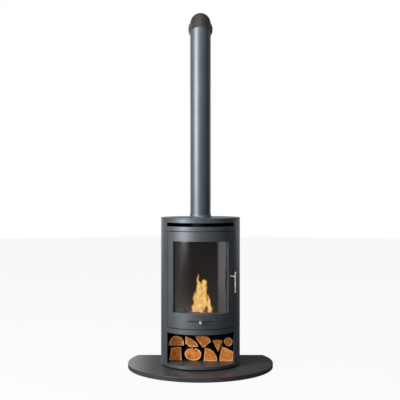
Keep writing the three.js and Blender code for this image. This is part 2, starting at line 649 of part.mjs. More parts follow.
// ---- Logs in the fire ----
// A charred log is a tapered many-sided bar that lies across the base bricks.
function burningLog(radius, length, y, turn) {
  const geometry = new THREE.CylinderGeometry(radius * 0.9, radius, length, 9);
  return geometry.rotateZ(Math.PI / 2 + radians(turn)).translate(0, y, BRICK_TOP_Z + radius + FIT_GAP);
}
add("fire_log_1", burningLog(20, 210, -45, 6), CHARRED_WOOD);
add("fire_log_2", burningLog(20, 200, 25, -8), CHARRED_WOOD);

export default group;
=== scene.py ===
import json
import math

import bmesh
import bpy
from mathutils import Matrix, Vector, noise


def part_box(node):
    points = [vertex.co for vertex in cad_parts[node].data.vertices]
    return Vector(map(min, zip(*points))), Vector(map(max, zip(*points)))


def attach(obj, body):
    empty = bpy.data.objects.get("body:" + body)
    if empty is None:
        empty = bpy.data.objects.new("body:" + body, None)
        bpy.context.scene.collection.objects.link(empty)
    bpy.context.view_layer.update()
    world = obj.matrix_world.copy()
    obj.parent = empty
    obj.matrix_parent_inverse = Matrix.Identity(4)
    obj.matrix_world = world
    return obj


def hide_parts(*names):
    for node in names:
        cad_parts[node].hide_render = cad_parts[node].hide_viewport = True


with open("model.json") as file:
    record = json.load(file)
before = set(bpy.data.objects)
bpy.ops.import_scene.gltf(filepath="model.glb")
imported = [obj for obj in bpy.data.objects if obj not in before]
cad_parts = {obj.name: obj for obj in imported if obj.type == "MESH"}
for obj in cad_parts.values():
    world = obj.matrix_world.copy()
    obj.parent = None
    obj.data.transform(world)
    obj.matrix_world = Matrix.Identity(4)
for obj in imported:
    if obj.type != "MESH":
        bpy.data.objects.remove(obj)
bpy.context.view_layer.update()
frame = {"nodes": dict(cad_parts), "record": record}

bl_info = {
    "name": "Wood Burning Stove",
    "version": (1, 0, 0),
    "blender": (4, 5, 0),
    "location": "View3D > Sidebar > Stove",
    "description": "Builds a round-fronted wood burning stove with its hearth, flue, firewood and fire",
    "category": "Object",
}

MM = 0.001


# ------------------------------------------------------------------ places from the frame
def low(node):
    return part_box(node)[0]


def high(node):
    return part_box(node)[1]


def joint_place(name):
    found = [j for j in frame["record"]["behaviour"]["joints"] if j["name"] == name]
    return Vector(found[0]["pos_m"])


def half_angle(node, radius):
    """Degrees from the front to the edge of a rolled sheet of that radius."""
    return math.degrees(math.asin(min(1.0, high(node).x / radius)))


SHEET = 4 * MM
BODY_RADIUS = -low("door_frame").y
INNER_RADIUS = BODY_RADIUS - SHEET
BASE_Z = low("side_panel_left").z
PANEL_TOP_Z = high("side_panel_left").z
TOP_Z = high("top_plate").z
BAND_ANGLE = half_angle("header_band", BODY_RADIUS)
JAMB_ANGLE = BAND_ANGLE + 0.1
DOOR_ANGLE = half_angle("door_frame", BODY_RADIUS)
FOLD = math.degrees(SHEET / BODY_RADIUS)
JAMB_DEPTH = 28 * MM
REAR_ANGLE = math.degrees(math.acos(-high("side_panel_right").y / BODY_RADIUS))
DOOR_DEPTH = 16 * MM
WINDOW = {"angle": 43.0, "low": low("glass_gasket").z + 9 * MM, "high": high("glass_gasket").z - 9 * MM}
AIR_SLOT = {"angle": 17.8, "z": joint_place("air_slide").z, "height": 6 * MM}
PIPE_RADIUS = high("flue_pipe").x
PIPE_WALL = 2 * MM
WALL_Y = high("flue_elbow").y
ELBOW_Z = (low("wall_rosette").z + high("wall_rosette").z) / 2
MITRE_TURN = 70 * MM
MITRE_Z = ELBOW_Z - MITRE_TURN
SPINDLE = joint_place("handle_turn")
HANDLE_ANGLE = math.degrees(math.atan2(SPINDLE.x, -SPINDLE.y))
STORE_FLOOR_Z = high("base_plate").z
STORE_TOP_Z = low("store_ceiling").z
JAMB_TOP_Z = low("header_band").z
EMBER_Z = high("base_brick_left").z
TALLEST_FLAME = 0.243
SHARP_ANGLE = 35
WHITE = (1.0, 1.0, 1.0)


# ------------------------------------------------------------------ sizes and colours for a user
def colour(label, text, value):
    return bpy.props.FloatVectorProperty(
        name=label, description=text, default=value, size=3, subtype="COLOR", min=0.0, max=1.0
    )


def length(label, text, value):
    return bpy.props.FloatProperty(
        name=label, description=text, default=value, min=0.0, subtype="DISTANCE", unit="LENGTH"
    )


class StoveFinishes(bpy.types.PropertyGroup):
    paint: colour("Stove paint", "Colour of the painted steel body", (0.092, 0.108, 0.123))
    flue_paint: colour("Flue paint", "Colour of the painted flue pipe", (0.104, 0.124, 0.142))
    # The bend's warm brown-grey is a painted reflection of a warm brown ceiling in its upward-facing gore,
    # not browning by heat.
    bend_paint: colour("Bend paint", "Colour of the flue's bend, browned by heat", (0.050, 0.046, 0.038))
    flake: bpy.props.FloatProperty(
        name="Metal flake", description="How metallic the paint is", default=0.62, min=0.0, max=1.0
    )
    stone: colour("Hearth stone", "Colour of the hearth plate", (0.040, 0.040, 0.043))
    brick: colour("Firebrick", "Colour of the soot-darkened lining", (0.040, 0.023, 0.020))
    wood: colour("Split wood", "Colour of the split faces of the firewood", (0.60, 0.185, 0.022))
    bark: colour("Bark", "Colour of the bark on the firewood", (0.060, 0.032, 0.018))


class StoveSizes(bpy.types.PropertyGroup):
    arris: length("Edge rounding", "Radius of the folded and cut steel edges", 0.9 * MM)
    stone_arris: length("Stone arris", "Chamfer on the hearth plate's edge", 2.5 * MM)
    arc_step: bpy.props.FloatProperty(
        name="Arc step",
        description="Degrees between the points of a curved sheet",
        default=1.0,
        min=0.25,
        max=5.0,
    )
    flame_height: length("Flame height", "Height of the tallest flame above the embers", TALLEST_FLAME)
    rope: length("Rope radius", "Radius of one strand of the rope seals", 1.7 * MM)


# ------------------------------------------------------------------ shader maths
class Field:
    """A socket whose value changes over the surface, so that sums can be written with it."""

    def __init__(self, finish, socket):
        self.finish = finish
        self.socket = socket

    def _maths(self, operation, first, second):
        made = self.finish.node("ShaderNodeMath", {"operation": operation}, {0: first, 1: second})
        return Field(self.finish, made.outputs[0])

    def __add__(self, other):
        return self._maths("ADD", self, other)

    __radd__ = __add__

    def __sub__(self, other):
        return self._maths("SUBTRACT", self, other)

    def __rsub__(self, other):
        return self._maths("SUBTRACT", other, self)

    def __mul__(self, other):
        return self._maths("MULTIPLY", self, other)

    __rmul__ = __mul__


class Finish:
    """A node material around one Principled surface."""

    def __init__(self, name, **surface):
        self.material = bpy.data.materials.new(name)
        self.material.use_nodes = True
        self.tree = self.material.node_tree
        self.surface = self.tree.nodes["Principled BSDF"]
        self.coords = Field(self, self.node("ShaderNodeTexCoord").outputs["Object"])
        self.put(**surface)

    def node(self, kind, settings=None, sockets=None):
        made = self.tree.nodes.new(kind)
        for key, value in (settings or {}).items():
            if key == "stops":
                self.set_stops(made.color_ramp, value)
            else:
                setattr(made, key, value)
        for key, value in (sockets or {}).items():
            self.feed(made.inputs[key], value)
        return made

    def feed(self, socket, value):
        if isinstance(value, Field):
            self.tree.links.new(value.socket, socket)
        elif socket.type == "RGBA" and len(value) == 3:
            socket.default_value = (*value, 1.0)
        else:
            socket.default_value = value

    @staticmethod
    def set_stops(ramp, stops):
        while len(ramp.elements) < len(stops):
            ramp.elements.new(0.5)
        for element, (place, shade) in zip(ramp.elements, stops):
            element.position = place
            element.color = (*shade, 1.0) if len(shade) == 3 else shade

    def stretched(self, scale):
        """Object coordinates, scaled along each axis."""
        made = self.node("ShaderNodeMapping", None, {"Vector": self.coords, "Scale": scale})
        return Field(self, made.outputs[0])

    def noise(self, scale, detail=4.0, rough=0.55, at=None):
        sockets = {"Vector": at or self.coords, "Scale": scale, "Detail": detail, "Roughness": rough}
        return Field(self, self.node("ShaderNodeTexNoise", None, sockets).outputs["Fac"])

    def cells(self, scale, feature="F1", output="Distance", at=None):
        sockets = {"Vector": at or self.coords, "Scale": scale}
        made = self.node("ShaderNodeTexVoronoi", {"feature": feature}, sockets)
        return Field(self, made.outputs[output])

    def ramp(self, factor, stops):
        made = self.node("ShaderNodeValToRGB", {"stops": stops}, {"Fac": factor})
        return Field(self, made.outputs["Color"])

    def spread(self, value, from_low, from_high, to_low=0.0, to_high=1.0):
        """The value moved from one range to another, and held inside it."""
        sockets = {0: value, 1: from_low, 2: from_high, 3: to_low, 4: to_high}
        return Field(self, self.node("ShaderNodeMapRange", {"clamp": True}, sockets).outputs[0])

    def mix(self, factor, first, second, blend="MIX"):
        settings = {"data_type": "RGBA", "blend_type": blend}
        made = self.node("ShaderNodeMix", settings, {0: factor, 6: first, 7: second})
        return Field(self, made.outputs[2])

    def axis(self, name):
        made = self.node("ShaderNodeSeparateXYZ", None, {0: self.coords})
        return Field(self, made.outputs[name])

    def attribute(self, name):
        return Field(self, self.node("ShaderNodeAttribute", {"attribute_name": name}).outputs["Fac"])

    def between(self, name, outer, inner):
        """1 along an axis between the two inner places, fading to 0 at the two outer ones."""
        along = self.axis(name)
        return self.spread(along, outer[1], inner[1]) * self.spread(along, outer[0], inner[0])

    def put(self, **sockets):
        for key, value in sockets.items():
            self.feed(self.surface.inputs[key.replace("_", " ")], value)

    def bump(self, height, strength, distance):
        sockets = {"Strength": strength, "Distance": distance, "Height": height}
        made = self.node("ShaderNodeBump", None, sockets)
        self.feed(self.surface.inputs["Normal"], Field(self, made.outputs[0]))
        return self


# ------------------------------------------------------------------ finishes
def scaled(shade, factor):
    return tuple(min(1.0, channel * factor) for channel in shade)


def stove_paint(name, shade):
    """Satin stove enamel with a fine metal flake and a faint orange peel."""
    finish = Finish(name, Metallic=look().flake, IOR=1.5)
    cloud = finish.noise(7.0, 3.0)
    flake = finish.cells(1500.0, output="Color")
    sparkle = finish.spread(finish.noise(900.0, 1.0), 0.35, 0.7)
    base = finish.mix(finish.spread(cloud, 0.3, 0.7), scaled(shade, 0.92), scaled(shade, 1.08))
    base = finish.mix(sparkle * 0.22, base, finish.mix(0.35, scaled(shade, 1.7), flake))
    finish.put(Base_Color=base, Roughness=0.42 + 0.06 * cloud + 0.05 * sparkle)
    peel = finish.noise(420.0, 2.0) + 0.4 * finish.noise(60.0, 2.0)
    return finish.bump(peel, 0.05, 0.4 * MM).material


def inner_steel():
    """Heat-proof matt black paint, a little chalky and browned by heat."""
    finish = Finish("inner_steel", Metallic=0.25)
    cloud = finish.noise(16.0, 5.0)
    fine = finish.noise(380.0, 2.0)
    base = finish.mix(finish.spread(cloud, 0.35, 0.7), (0.013, 0.013, 0.014), (0.030, 0.026, 0.024))
    finish.put(Base_Color=base, Roughness=0.55 + 0.2 * cloud)
    return finish.bump(fine + 0.5 * cloud, 0.12, 0.4 * MM).material


def cast_iron():
    """Sand-cast iron, pitted and greyed by ash."""
    finish = Finish("cast_iron", Metallic=0.5)
    grain = finish.noise(260.0, 4.0, 0.7)
    pits = finish.spread(finish.cells(190.0), 0.0, 0.35)
    ash = finish.spread(finish.noise(30.0, 4.0), 0.48, 0.75)
    base = finish.mix(ash * 0.6, (0.020, 0.019, 0.019), (0.12, 0.11, 0.10))
    finish.put(Base_Color=base, Roughness=0.62 + 0.25 * grain)
    return finish.bump(grain + 0.6 * pits, 0.35, 0.8 * MM).material


def bright_steel(name, scale, rough=0.20):
    """Stainless steel, brushed along the axis that scale leaves stretched."""
    finish = Finish(name, Metallic=1.0)
    brush = finish.noise(1.0, 3.0, 0.6, at=finish.stretched(scale))
    base = finish.mix(finish.spread(brush, 0.3, 0.75), (0.60, 0.59, 0.57), (0.86, 0.85, 0.83))
    finish.put(Base_Color=base, Roughness=rough + 0.16 * brush)
    return finish.bump(brush, 0.08, 0.2 * MM).material


def hearth_stone():
    """Honed dark stone: fine crystals, soft clouds and a few pale flecks."""
    finish = Finish("hearth_stone", IOR=1.5, Specular_IOR_Level=0.42)
    shade = look().stone
    cloud = finish.noise(5.0, 6.0, 0.6)
    grain = finish.noise(240.0, 5.0, 0.75)
    fleck = finish.spread(finish.cells(420.0), 0.16, 0.04)
    vein = finish.spread(finish.noise(3.2, 8.0, 0.7, at=finish.stretched((1.0, 2.6, 1.0))), 0.60, 0.68)
    base = finish.mix(finish.spread(cloud, 0.3, 0.7), scaled(shade, 0.78), scaled(shade, 1.25))
    base = finish.mix(finish.spread(grain, 0.45, 0.75) * 0.5, base, scaled(shade, 2.1))
    base = finish.mix(fleck * 0.4, base, (0.20, 0.20, 0.20))
    base = finish.mix(vein * 0.25, base, scaled(shade, 1.9))
    finish.put(Base_Color=base, Roughness=0.22 + 0.12 * grain + 0.04 * cloud)
    return finish.bump(grain + 0.3 * fleck, 0.06, 0.4 * MM).material


def firebrick():
    """Pressed vermiculite board, browned by fire and sooty towards the top."""
    finish = Finish("firebrick")
    shade = look().brick
    flakes = finish.cells(230.0, output="Color")
    flake_depth = finish.cells(230.0)
    soot = finish.noise(11.0, 5.0, 0.6)
    height = finish.spread(finish.axis("Z"), EMBER_Z, high("lining_back").z)
    base = finish.mix(finish.spread(soot, 0.3, 0.7), scaled(shade, 0.65), scaled(shade, 1.5))
    base = finish.mix(0.16, base, finish.mix(1.0, base, flakes, "MULTIPLY"))
    base = finish.mix(height * 0.55, base, (0.016, 0.013, 0.012))
    finish.put(Base_Color=base, Roughness=0.86 + 0.12 * soot)
    return finish.bump(flake_depth + 0.7 * soot, 0.4, 1.0 * MM).material


def window_glass():
    """Clear ceramic glass with a soft sheen and a faint smoke film near its foot."""
    finish = Finish("window_glass", Transmission_Weight=1.0, IOR=1.15, Roughness=0.0)
    finish.put(Coat_Weight=1.0, Coat_Roughness=0.14, Coat_IOR=1.65)
    film = finish.spread(finish.noise(9.0, 4.0), 0.4, 0.8)
    low_down = finish.spread(finish.axis("Z"), WINDOW["low"] + 90 * MM, WINDOW["low"])
    finish.put(Base_Color=finish.mix(film * low_down * 0.5, (0.95, 0.945, 0.94), (0.80, 0.77, 0.74)))
    return finish.material


def rope_seal():
    """Grey glass-fibre rope, sooty on its crowns."""
    finish = Finish("rope_seal", Sheen_Weight=0.3)
    strand = finish.noise(420.0, 3.0, at=finish.stretched((1.0, 1.0, 3.0)))
    soot = finish.noise(26.0, 3.0)
    base = finish.mix(finish.spread(soot, 0.35, 0.7), (0.035, 0.033, 0.031), (0.15, 0.14, 0.13))
    finish.put(Base_Color=finish.mix(strand * 0.4, base, (0.24, 0.23, 0.21)), Roughness=0.9 + 0.08 * soot)
    return finish.bump(strand, 0.5, 0.5 * MM).material


def firewood():
    """Bare wood where the attribute bark is 0, a pale rim about half way, and rough bark where it is 1.
    Cracks in the end faces also get 1, so their dark bark colour is painted shade.
    """
    finish = Finish("firewood", Specular_IOR_Level=0.25)
    wood, bark_shade = look().wood, look().bark
    bark, ring, tint, end = (finish.attribute(name) for name in ("bark", "ring", "tint", "end"))
    wander = finish.noise(34.0, 3.0)
    fibres = finish.noise(1.0, 4.0, 0.6, at=finish.stretched((520.0, 16.0, 520.0)))
    coarse = finish.noise(1.0, 3.0, 0.55, at=finish.stretched((95.0, 7.0, 95.0)))
    rings = finish.node("ShaderNodeMath", {"operation": "SINE"}, {0: ring * 950.0 + wander * 9.0})
    rings = finish.spread(Field(finish, rings.outputs[0]), -0.6, 1.0)
    mottle = finish.noise(52.0, 5.0, 0.62)
    speck = finish.noise(135.0, 4.0, 0.7)
    split = finish.mix(finish.spread(coarse, 0.3, 0.72), scaled(wood, 0.5), scaled(wood, 1.2))
    split = finish.mix(finish.spread(fibres, 0.45, 0.75) * 0.5, split, (0.80, 0.46, 0.17))
    sawn = finish.mix(rings * 0.45, scaled(wood, 1.05), scaled(wood, 0.5))
    sawn = finish.mix(finish.spread(mottle, 0.46, 0.60) * 0.75, sawn, (0.92, 0.40, 0.10))
    sawn = finish.mix(finish.spread(wander, 0.56, 0.36) * 0.7, sawn, (0.50, 0.115, 0.012))
    sawn = finish.mix(finish.spread(speck, 0.54, 0.70) * 0.85, sawn, (0.20, 0.045, 0.008))
    sawn = finish.mix(finish.spread(speck, 0.40, 0.28) * 0.6, sawn, (0.92, 0.62, 0.28))
    plain = finish.mix(end, split, sawn)
    plain = finish.mix(tint * 0.55, plain, finish.mix(0.45, plain, (0.34, 0.085, 0.012)))
    rim = finish.spread(bark, 0.10, 0.40) * finish.spread(bark, 0.95, 0.70)
    plain = finish.mix(rim * finish.spread(mottle, 0.3, 0.55), plain, (0.86, 0.60, 0.33))
    furrow = finish.noise(1.0, 5.0, 0.65, at=finish.stretched((150.0, 28.0, 150.0)))
    deep, crown = scaled(bark_shade, 0.4), scaled(bark_shade, 2.6)
    rough_bark = finish.mix(finish.spread(furrow, 0.35, 0.7), deep, crown)
    edge = finish.spread(bark, 0.70, 0.86)
    finish.put(Base_Color=finish.mix(edge, plain, rough_bark), Roughness=0.72 + 0.2 * furrow)
    relief = fibres * (1 - edge) * 0.5 + (rings * 0.25 + speck) * end + furrow * edge * 2.0
    return finish.bump(relief, 0.6, 1.4 * MM).material


def charred_wood():
    """Charcoal that glows in its cracks and greys to ash on its crowns."""
    finish = Finish("charred_wood")
    crack = finish.cells(48.0, "DISTANCE_TO_EDGE", at=finish.stretched((0.55, 1.0, 1.0)))
    cloud = finish.noise(24.0, 4.0)
    ash = finish.spread(finish.noise(60.0, 4.0), 0.55, 0.8)
    base = finish.mix(ash * 0.7, (0.010, 0.007, 0.006), (0.17, 0.13, 0.11))
    glow = finish.spread(crack + 0.25 * cloud, 0.24, 0.05)
    heat = finish.spread(finish.axis("Z"), EMBER_Z + 48 * MM, EMBER_Z)
    near = finish.between("X", (-80 * MM, 92 * MM), (-40 * MM, 55 * MM))
    lit = finish.spread(glow * 0.75 + finish.spread(cloud, 0.42, 0.66) * 0.6, 0.0, 1.0)
    stops = [
        (0.0, (0, 0, 0)),
        (0.35, (0.16, 0.018, 0.006)),
        (0.7, (0.72, 0.20, 0.09)),
        (1.0, (1.0, 0.55, 0.25)),
    ]
    ember = finish.ramp(near * lit * (0.25 + 0.75 * heat), stops)
    finish.put(Base_Color=base, Roughness=0.9 + 0.08 * cloud, Emission_Color=ember, Emission_Strength=1.0)
    return finish.bump(crack + 0.5 * cloud, 0.8, 2.0 * MM).material


def ash_bed():
    """Pale wood ash with charcoal crumbs and a few live embers."""
    finish = Finish("ash_bed")
    cloud = finish.noise(40.0, 5.0, 0.65)
    crumbs = finish.spread(finish.cells(170.0), 0.25, 0.1)
    live = finish.spread(finish.noise(95.0, 3.0), 0.55, 0.72)
    near = finish.between("X", (-95 * MM, 95 * MM), (-35 * MM, 35 * MM))
    base = finish.mix(finish.spread(cloud, 0.35, 0.65), (0.045, 0.038, 0.034), (0.20, 0.17, 0.15))
    base = finish.mix(crumbs * 0.7, base, (0.012, 0.010, 0.010))
    stops = [(0.0, (0, 0, 0)), (0.5, (0.5, 0.05, 0.006)), (1.0, (1.0, 0.36, 0.08))]
    ember = finish.ramp(live * near, stops)
    finish.put(Base_Color=base, Roughness=0.93 + 0.05 * cloud, Emission_Color=ember, Emission_Strength=1.2)
    return finish.bump(cloud + 0.4 * crumbs, 0.7, 2.0 * MM).material


def flame():
    """Fire: pale yellow in the core, orange outside and red at the foot, thinning at its edges."""
    finish = Finish("flame", Base_Color=(0, 0, 0), Roughness=1.0, Specular_IOR_Level=0.0)
    heat = finish.attribute("warmth")
    lick = finish.noise(1.0, 3.0, 0.6, at=finish.stretched((38.0, 38.0, 12.0)))
    warmth = finish.spread(heat + 2.0 * (lick - 0.5), 0.0, 1.0)
    stops = [
        (0.0, (0.50, 0.09, 0.02)),
        (0.22, (0.78, 0.24, 0.035)),
        (0.38, (1.0, 0.55, 0.08)),
        (0.58, (1.0, 0.82, 0.22)),
        (0.90, (1.0, 0.96, 0.58)),
    ]
    foot = finish.spread(finish.axis("Z"), EMBER_Z + 46 * MM, EMBER_Z + 4 * MM)
    cool = finish.spread(warmth, 0.85, 0.30)
    shade = finish.mix(foot * cool * 0.75, finish.ramp(warmth, stops), (0.72, 0.30, 0.17))
    finish.put(Emission_Color=shade, Emission_Strength=1.0)
    finish.put(Alpha=finish.spread(warmth, 0.02, 0.5, 0.08, 0.9))
    return finish.material


# ------------------------------------------------------------------ mesh tools
def look():
    return bpy.context.scene.stove_finishes


def sizes():
    return bpy.context.scene.stove_sizes


def from_bmesh(name, made, material, smooth=True):
    mesh = bpy.data.meshes.new(name)
    made.to_mesh(mesh)
    made.free()
    mesh.materials.append(material)
    for face in mesh.polygons:
        face.use_smooth = smooth
    piece = bpy.data.objects.new(name, mesh)
    bpy.context.scene.collection.objects.link(piece)
    return piece


def soften(piece, width, segments=2):
    """Rounds the sharp edges and keeps the broad faces flat."""
    bevel = piece.modifiers.new("edges", "BEVEL")
    bevel.width = width
    bevel.segments = segments
    bevel.limit_method = "ANGLE"
    bevel.angle_limit = math.radians(SHARP_ANGLE)
    bevel.use_clamp_overlap = True
    normals = piece.modifiers.new("normals", "WEIGHTED_NORMAL")
    normals.keep_sharp = False
    return piece


def on_arc(radius, degrees, z=0.0):
    """A point about the body's axis, by degrees from the front towards +X."""
    return Vector((radius * math.sin(math.radians(degrees)), -radius * math.cos(math.radians(degrees)), z))


def arc_steps(*breaks):
    """Angles from the first to the last, about one arc step apart, that pass through each break."""
    step = sizes().arc_step
    angles = [breaks[0]]
    for start, end in zip(breaks, breaks[1:]):
        count = max(1, round((end - start) / step))
        angles += [start + (end - start) * (i + 1) / count for i in range(count)]
    return angles


def turns(count):
    """Even angles round a circle."""
    return [2 * math.pi * i / count for i in range(count)]


def skin(made, rows, closed=False):
    """Faces between rows of points, each row a loop. A closed skin joins the last row to the first."""
    following = rows[1:] + rows[:1] if closed else rows[1:]
    for first, second in zip(rows, following):
        for i in range(len(first)):
            j = (i + 1) % len(first)
            made.faces.new((first[i], first[j], second[j], second[i]))


def fan(made, row, tip):
    """Closes a loop of points onto one point."""
    for i in range(len(row)):
        made.faces.new((row[i], row[(i + 1) % len(row)], tip))


def block(made, edges, filled, place):
    """Adds the closed skin of the filled cells of a grid. place turns a grid point into a position."""
    counts = [len(axis) - 1 for axis in edges]
    corners = {}

    def vertex(key):
        if key not in corners:
            corners[key] = made.verts.new(place(*(edges[axis][key[axis]] for axis in range(3))))
        return corners[key]

    def is_filled(cell):
        if any(cell[axis] < 0 or cell[axis] >= counts[axis] for axis in range(3)):
            return False
        middle = [(edges[axis][cell[axis]] + edges[axis][cell[axis] + 1]) / 2 for axis in range(3)]
        return filled(*middle)

    known = {
        (i, j, k): is_filled((i, j, k))
        for i in range(-1, counts[0] + 1)
        for j in range(-1, counts[1] + 1)
        for k in range(-1, counts[2] + 1)
    }
    for cell, solid in known.items():
        if not solid:
            continue
        for axis in range(3):
            for side in (0, 1):
                beside = list(cell)
                beside[axis] += 1 if side else -1
                if known[tuple(beside)]:
                    continue
                u, v = (axis + 1) % 3, (axis + 2) % 3
                ring = []
                for du, dv in ((0, 0), (1, 0), (1, 1), (0, 1)):
                    key = list(cell)
                    key[axis] += side
                    key[u] += du
                    key[v] += dv
                    ring.append(vertex(tuple(key)))
                made.faces.new(ring if side else ring[::-1])


def rolled(made, radii, angles, levels, filled=lambda r, a, z: True):
    block(made, (radii, angles, levels), filled, lambda r, a, z: on_arc(r, a, z))


def squared(made, xs, ys, zs):
    block(made, (xs, ys, zs), lambda x, y, z: True, lambda x, y, z: Vector((x, y, z)))


def prism(made, outline, bottom, top, holes=()):
    """A flat plate with straight sides, from an outline in plan and round holes of (x, y, radius)."""
    rings = [outline]
    for x, y, radius in holes:
        rings.append([Vector((x + radius * math.cos(a), y + radius * math.sin(a), 0)) for a in turns(72)])
    edges, loops = [], []
    for ring in rings:
        verts = [made.verts.new((p.x, p.y, top)) for p in ring]
        loops.append(verts)
        edges += [made.edges.new((a, b)) for a, b in zip(verts, verts[1:] + verts[:1])]
    lid = bmesh.ops.triangle_fill(made, use_beauty=True, edges=edges, normal=(0, 0, 1))
    faces = [item for item in lid["geom"] if isinstance(item, bmesh.types.BMFace)]
    lower = {v: made.verts.new((v.co.x, v.co.y, bottom)) for ring in loops for v in ring}
    for face in faces:
        made.faces.new([lower[v] for v in reversed(face.verts)])
    for verts in loops:
        for a, b in zip(verts, verts[1:] + verts[:1]):
            made.faces.new((a, b, lower[b], lower[a]))
    bmesh.ops.recalc_face_normals(made, faces=made.faces)
    bmesh.ops.dissolve_limit(made, angle_limit=0.01, verts=made.verts, edges=made.edges)


def flat_rear_disc(radius, centre_y, rear_y, step=1.5):
    """A disc's outline in plan, cut off straight at the rear."""
    half = 180 - math.degrees(math.acos((rear_y - centre_y) / radius))
    count = round(2 * half / step)
    angles = [-half + 2 * half * i / count for i in range(count + 1)]
    return [on_arc(radius, a) + Vector((0, centre_y, 0)) for a in angles]


def lathe(made, profile, place, sides=64, closed=False):
    """Turns (radius, height) points about an axis. place turns (x, y, height) into a position."""
    rings = []
    for radius, h in profile:
        if radius < 1e-9:
            rings.append([made.verts.new(place(0, 0, h))])
            continue
        around = [place(radius * math.cos(a), radius * math.sin(a), h) for a in turns(sides)]
        rings.append([made.verts.new(point) for point in around])
    pairs = list(zip(rings, rings[1:] + rings[:1])) if closed else list(zip(rings, rings[1:]))
    for first, second in pairs:
        for i in range(sides):
            ring = [first[i % len(first)], first[(i + 1) % len(first)]]
            ring += [second[(i + 1) % len(second)], second[i % len(second)]]
            unique = list(dict.fromkeys(ring))
            if len(unique) > 2:
                made.faces.new(unique)
    bmesh.ops.recalc_face_normals(made, faces=made.faces)


def upright(x=0.0, y=0.0):
    return lambda u, v, h: Vector((x + u, y + v, h))


def outward(degrees, z):
    """Places a lathe so that its axis points away from the body."""
    along, across = on_arc(1.0, degrees), on_arc(1.0, degrees + 90)
    return lambda u, v, h: along * h + across * u + Vector((0, 0, z + v))


def quarter(count):
    """Even angles from 0 to a right angle."""
    return [math.pi / 2 * i / count for i in range(count + 1)]


def fillet(radius_from, z_from, radius_to, z_to, count=8):
    """A hollow quarter curve between two profile points."""
    points = []
    for a in quarter(count):
        radius = radius_to + (radius_from - radius_to) * (1 - math.sin(a))
        points.append((radius, z_from + (z_to - z_from) * (1 - math.cos(a))))
    return points


def dress(nodes, material):
    """Gives carried CAD nodes a finish."""
    for name in nodes:
        mesh = frame["nodes"][name].data
        mesh.materials.clear()
        mesh.materials.append(material)


def place_piece(piece, body, slot, *nodes):
    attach(piece, body)
    if nodes:
        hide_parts(*nodes)


# ------------------------------------------------------------------ geometry nodes
class Tree:
    """A geometry node tree with named inputs. It runs on a carrier mesh and ends in real geometry."""

    def __init__(self, name, inputs, material):
        self.group = bpy.data.node_groups.new(name, "GeometryNodeTree")
        self.sockets = {}
        self.add_input("Carrier", "NodeSocketGeometry", None)
        for label, (kind, value) in inputs.items():
            self.add_input(label, kind, value)
        self.group.interface.new_socket("Geometry", in_out="OUTPUT", socket_type="NodeSocketGeometry")
        self.inputs = self.group.nodes.new("NodeGroupInput").outputs
        self.output = self.group.nodes.new("NodeGroupOutput")
        self.material = material

    def add_input(self, label, kind, value):
        socket = self.group.interface.new_socket(label, in_out="INPUT", socket_type=kind)
        if value is not None:
            socket.default_value = value
        self.sockets[label] = socket.identifier

    def node(self, kind, settings=None, sockets=None):
        made = self.group.nodes.new(kind)
        for key, value in (settings or {}).items():
            setattr(made, key, value)
        for key, value in (sockets or {}).items():
            for source in value if isinstance(value, list) else [value]:
                if isinstance(source, bpy.types.NodeSocket):
                    self.group.links.new(source, made.inputs[key])
                else:
                    made.inputs[key].default_value = source
        return made

    def end(self, geometry):
        real = self.node("GeometryNodeRealizeInstances", None, {0: geometry})
        smooth = self.node("GeometryNodeSetShadeSmooth", None, {0: real.outputs[0]})
        sockets = {0: smooth.outputs[0], "Material": self.material}
        painted = self.node("GeometryNodeSetMaterial", None, sockets)
        self.group.links.new(painted.outputs[0], self.output.inputs[0])

    def build(self, name, carrier, **values):
        """Runs the tree on a carrier mesh and returns a plain mesh piece."""
        source = bpy.data.objects.new(name + "_source", carrier)
        bpy.context.scene.collection.objects.link(source)
        modifier = source.modifiers.new("tree", "NODES")
        modifier.node_group = self.group
        for label, value in values.items():
            modifier[self.sockets[label.replace("_", " ")]] = value
        depsgraph = bpy.context.evaluated_depsgraph_get()
        mesh = bpy.data.meshes.new_from_object(source.evaluated_get(depsgraph), depsgraph=depsgraph)
        mesh.name = name
        source.modifiers.remove(modifier)
        bpy.data.objects.remove(source)
        piece = bpy.data.objects.new(name, mesh)
        bpy.context.scene.collection.objects.link(piece)
        return piece


def scatter(tree, shape, rotation):
    """Puts the shape on every point of the carrier and ends the tree."""
    sockets = {"Points": tree.inputs["Carrier"], "Instance": shape.outputs[0], "Rotation": rotation}
    tree.end(tree.node("GeometryNodeInstanceOnPoints", None, sockets).outputs[0])


def screw_tree(material):
    """A washer and a domed head on every point of the carrier."""
    inputs = {
        "Head Radius": ("NodeSocketFloat", 4.0 * MM),
        "Head Height": ("NodeSocketFloat", 2.4 * MM),
        "Turn": ("NodeSocketVector", (0.0, 0.0, 0.0)),
    }
    tree = Tree("screws", inputs, material)
    radius, height = tree.inputs["Head Radius"], tree.inputs["Head Height"]
    wide = tree.node("ShaderNodeMath", {"operation": "MULTIPLY"}, {0: radius, 1: 1.45})
    sockets = {"Vertices": 28, "Radius": wide.outputs[0], "Depth": 1.2 * MM}
    washer = tree.node("GeometryNodeMeshCylinder", None, sockets)
    dome = tree.node("GeometryNodeMeshUVSphere", None, {"Segments": 24, "Rings": 12, "Radius": 1.0})
    size = tree.node("ShaderNodeCombineXYZ", None, {0: radius, 1: radius, 2: height})
    head = tree.node("GeometryNodeTransform", None, {"Geometry": dome.outputs[0], "Scale": size.outputs[0]})
    both = tree.node("GeometryNodeJoinGeometry", None, {0: [washer.outputs["Mesh"], head.outputs[0]]})
    scatter(tree, both, tree.inputs["Turn"])
    return tree


